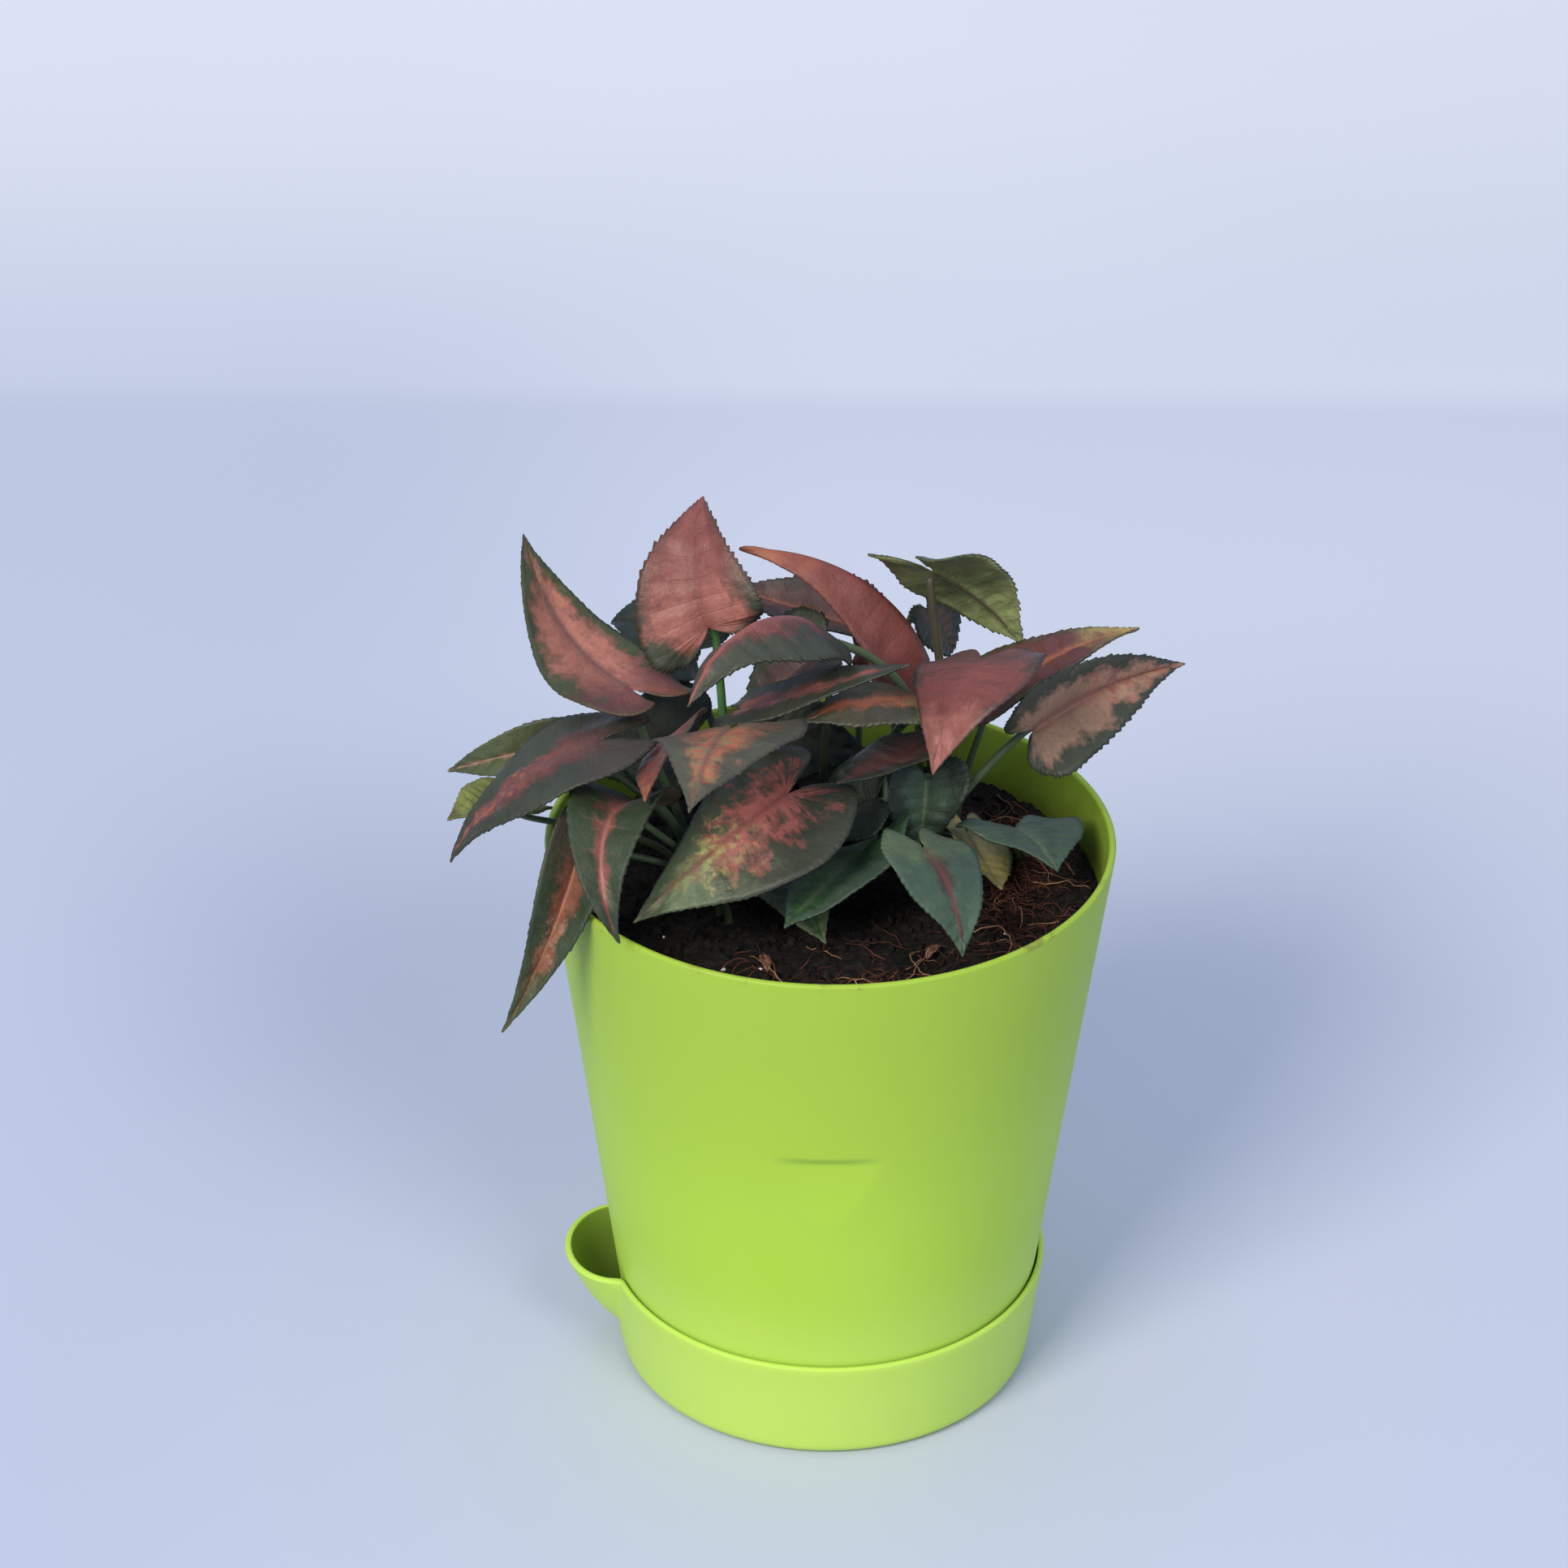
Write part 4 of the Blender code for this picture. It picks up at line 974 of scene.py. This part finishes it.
def make_soil():
    """Rough peat on a plain lower body; gives back its skin for the crumbs."""
    radius = pot_radius(SOIL_TOP) - POT_WALL - SOIL_GAP
    shape = bmesh.new()
    bmesh.ops.create_grid(shape, x_segments=SOIL_CELLS, y_segments=SOIL_CELLS, size=1.0)
    for vert in shape.verts:
        a, b = vert.co.x, vert.co.y
        x = a * math.sqrt(1 - b * b / 2) * radius
        y = b * math.sqrt(1 - a * a / 2) * radius
        vert.co = Vector((x, y, rough_soil(x, y))) * MM
    border = [e for e in shape.edges if e.is_boundary]
    skirt = bmesh.ops.extrude_edge_only(shape, edges=border)["geom"]
    low = POT_FLOOR_LOW + FLOOR_THICK + 1.5
    shrink = (pot_radius(low) - POT_WALL - SOIL_GAP) / radius
    for vert in (g for g in skirt if isinstance(g, bmesh.types.BMVert)):
        vert.co = Vector((vert.co.x * shrink, vert.co.y * shrink, low * MM))
    bottom = [g for g in skirt if isinstance(g, bmesh.types.BMEdge)]
    bmesh.ops.contextual_create(shape, geom=bottom)
    bmesh.ops.recalc_face_normals(shape, faces=shape.faces)
    peat = peat_skin("peat", srgb(18, 19, 18), srgb(48, 41, 36))
    piece = add_piece("soil_bed", new_mesh("soil_bed", shape), [peat])
    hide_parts("soil")
    return peat


def scatter(rng):
    """A place anywhere on the soil."""
    while True:
        x, y = rng.uniform(-LITTER_REACH, LITTER_REACH), rng.uniform(-LITTER_REACH, LITTER_REACH)
        if math.hypot(x, y) < LITTER_REACH:
            return x, y


def lumps(name, spots, skin, rng):
    """Small uneven grains at given places on the soil, as one mesh piece."""
    shape = bmesh.new()
    bmesh.ops.create_icosphere(shape, subdivisions=2, radius=1.0)
    ball = [vert.co.copy() for vert in shape.verts]
    faces = [[vert.index for vert in face.verts] for face in shape.faces]
    shape.free()
    points, sides = [], []
    for x, y, z, size in spots:
        turn = Matrix.Rotation(rng.uniform(0, math.tau), 3, Vector((rng.random(), rng.random(), 0.3)))
        stretch = Vector((rng.uniform(0.6, 1.3), rng.uniform(0.6, 1.2), rng.uniform(0.5, 0.9)))
        first = len(points)
        for co in ball:
            reach = size * (1 + 0.5 * noise.noise(1.1 * co + Vector((x, y, size))))
            points.append((Vector((x, y, z)) + reach * (turn @ (co * stretch))) * MM)
        sides += [[first + i for i in face] for face in faces]
    mesh = bpy.data.meshes.new(name)
    mesh.from_pydata(points, [], sides)
    add_piece(name, mesh, [skin])


def make_crumbs(peat):
    """Crumbs of peat, clear of the stalks, and a few white grains."""
    rng = random.Random(CRUMB_SEED)
    spots = []
    for _ in range(CRUMB_COUNT):
        x, y = scatter(rng)
        size = 0.3 + 1.3 * rng.random() ** 3
        if all(math.hypot(x - leaf.foot[0], y - leaf.foot[1]) > 1.6 + size for leaf in LEAVES):
            spots.append((x, y, rough_soil(x, y) + 0.25 * size, size))
    lumps("soil_crumbs", spots, peat, rng)
    white = plain_skin("perlite", srgb(225, 225, 222), srgb(170, 170, 165), 900.0)
    spots = [(x, y, rough_soil(x, y) + 0.3 * size, size) for x, y, size in PERLITE]
    lumps("perlite_grains", spots, white, rng)


def fibre(rng, x, y, length, lift):
    """A thin kinked fibre lying on the soil, up to the pot's wall."""
    heading = rng.uniform(0, math.tau)
    turn = rng.uniform(-0.12, 0.12)
    count = max(int(length / FIBRE_STEP), 4)
    points = []
    for i in range(count + 1):
        if math.hypot(x, y) > LITTER_REACH + 0.5:
            break
        points.append((x, y, rough_soil(x, y) + 0.15 + lift * math.sin(math.pi * i / count)))
        heading += turn + rng.uniform(-FIBRE_KINK, FIBRE_KINK)
        x += FIBRE_STEP * math.cos(heading)
        y += FIBRE_STEP * math.sin(heading)
    return points


def make_fibres():
    """Coir fibres, thickest on the right and in front, and paler dry roots among them."""
    rng = random.Random(FIBRE_SEED)
    russet = plain_skin("coir", srgb(112, 64, 50), srgb(40, 24, 21), 160.0, 0.8)
    pale = plain_skin("dry_root", srgb(170, 132, 100), srgb(110, 80, 60), 160.0, 0.8)
    coir, dry_roots = [], []
    for i in range(FIBRE_COUNT):
        spot = FIBRE_SPOTS["right" if i % 10 < 7 else "front"]
        x, y = rng.gauss(*spot[0]), rng.gauss(*spot[1])
        if math.hypot(x, y) > LITTER_REACH - 1:
            continue
        points = fibre(rng, x, y, rng.uniform(4, 20), rng.uniform(0.2, 4.0) * rng.random())
        if len(points) > 3:
            dry = i % DRY_ROOT_EVERY == 0
            size = rng.uniform(0.10, 0.22) if dry else rng.uniform(0.06, 0.15)
            lines = dry_roots if dry else coir
            lines.append((points, np.linspace(size, size * 0.5, len(points))))
    tubes("coir_fibres", coir, 6, [russet])
    tubes("dry_roots", dry_roots, 6, [pale])


def make_scraps():
    """Curled scraps of dry leaf on the soil."""
    husk = plain_skin("dry_husk", srgb(160, 122, 100), srgb(104, 66, 54), 260.0, 0.75)
    shape = bmesh.new()
    for x, y, length, width, heading in SCRAPS:
        verts = bmesh.ops.create_grid(shape, x_segments=14, y_segments=6, size=1.0)["verts"]
        place = Matrix.Translation((x, y, rough_soil(x, y) + 1.2))
        place = place @ Matrix.Rotation(math.radians(heading), 4, "Z")
        for vert in verts:
            a, b = vert.co.x, vert.co.y
            half = width / 2 * (1 - a * a) ** 0.6 + 0.05
            crumple = 0.5 * noise.noise(Vector((a * 2.0, b * 2.0, x)))
            vert.co = place @ Vector((a * length / 2, b * half, 0.9 * b * b - 0.6 * a * a + crumple))
    bmesh.ops.scale(shape, vec=(MM, MM, MM), verts=shape.verts)
    piece = add_piece("dry_scraps", new_mesh("dry_scraps", shape), [husk])
    add_thickness(piece, 0.25)


def floor_skin():
    """Pale floor with painted light: darker in front and lighter beyond a soft line behind the plant, with
    painted shade left of it and a painted shadow under it.
    """
    s = Shader("pale_floor")
    place = s.place()
    x, y = s.split(place)[:2]
    # Painted light: the sheet darker in front and lighter far off, with a lighter line between
    colour = s.blend(s.step(y, -0.10, 0.45), FLOOR["front"], FLOOR["middle"])
    colour = s.blend(s.step(y, 0.500, 0.530), colour, FLOOR["line"])
    colour = s.blend(s.step(y, 0.50, 0.95), colour, FLOOR["far"])
    # Painted shade left of the plant
    left = s.times(s.step(x, 0.02, -0.18), s.step(y, 0.75, 0.40))
    colour = s.lay(left, 0.45, colour, FLOOR["left"])
    # Painted shadow: a soft dark patch round a point behind and left of the pot
    aside = s.math("POWER", s.math("ADD", x, 0.075), 2.0)
    behind = s.math("POWER", s.math("ADD", y, -0.15), 2.0)
    painted_shadow = s.step(s.math("SQRT", s.math("ADD", aside, behind)), 0.19, 0.03)
    colour = s.lay(painted_shadow, 0.25, colour, FLOOR["painted_shadow"])
    cloud = s.centred(place, 2.2, 3.0, 0.5)
    return s.finish(s.toned(colour, s.times_plus(cloud, 0.10, 1.0)), 0.6, 0.25)


def make_floor():
    mesh = grid_mesh("floor", 1, 1, FLOOR_HALF)
    mesh.materials.append(floor_skin())
    floor = new_object("floor", mesh)
    floor.location.z = -FLOOR_DROP * MM


def area_light(name, azimuth, elevation, distance, size, power, colour):
    """A soft square light that looks at the plant."""
    data = bpy.data.lights.new(name, "AREA")
    data.size = size
    data.energy = power
    data.color = colour
    lamp = new_object(name, data)
    aim = Vector(direction(math.radians(azimuth), math.radians(elevation)))
    lamp.location = Vector((0, 0, 0.1)) + distance * aim
    lamp.rotation_euler = aim.to_track_quat("Z", "Y").to_euler()


def make_light():
    world = bpy.data.worlds.new("studio")
    bpy.context.scene.world = world
    world.use_nodes = True
    sky = world.node_tree.nodes["Background"]
    sky.inputs["Color"].default_value = SKY_COLOUR
    sky.inputs["Strength"].default_value = SKY_STRENGTH
    for name, values in LIGHTS.items():
        area_light(name, *values)
    bpy.context.scene.view_settings.view_transform = "Standard"
    bpy.context.scene.view_settings.look = "None"


def make_camera():
    data = bpy.data.cameras.new("view")
    data.sensor_fit = "HORIZONTAL"
    data.sensor_width = CAMERA_SENSOR
    data.lens = CAMERA_LENS
    camera = new_object("view", data)
    e = math.radians(CAMERA_ELEVATION)
    back = Vector((0.0, -math.cos(e), math.sin(e)))
    camera.location = (Vector(CAMERA_TARGET) + CAMERA_DISTANCE * back) * MM
    roll = Matrix.Rotation(math.radians(CAMERA_ROLL), 4, back)
    camera.rotation_euler = (roll @ back.to_track_quat("Z", "Y").to_matrix().to_4x4()).to_euler()
    bpy.context.scene.camera = camera


def main():
    make_camera()
    make_light()
    make_floor()
    skins = [plastic_skin("lime_plastic"), plastic_skin("lime_inside", inside=True)]
    make_pot(skins)
    make_saucer(skins)
    peat = make_soil()
    make_crumbs(peat)
    make_fibres()
    make_scraps()
    make_leaves()


main()
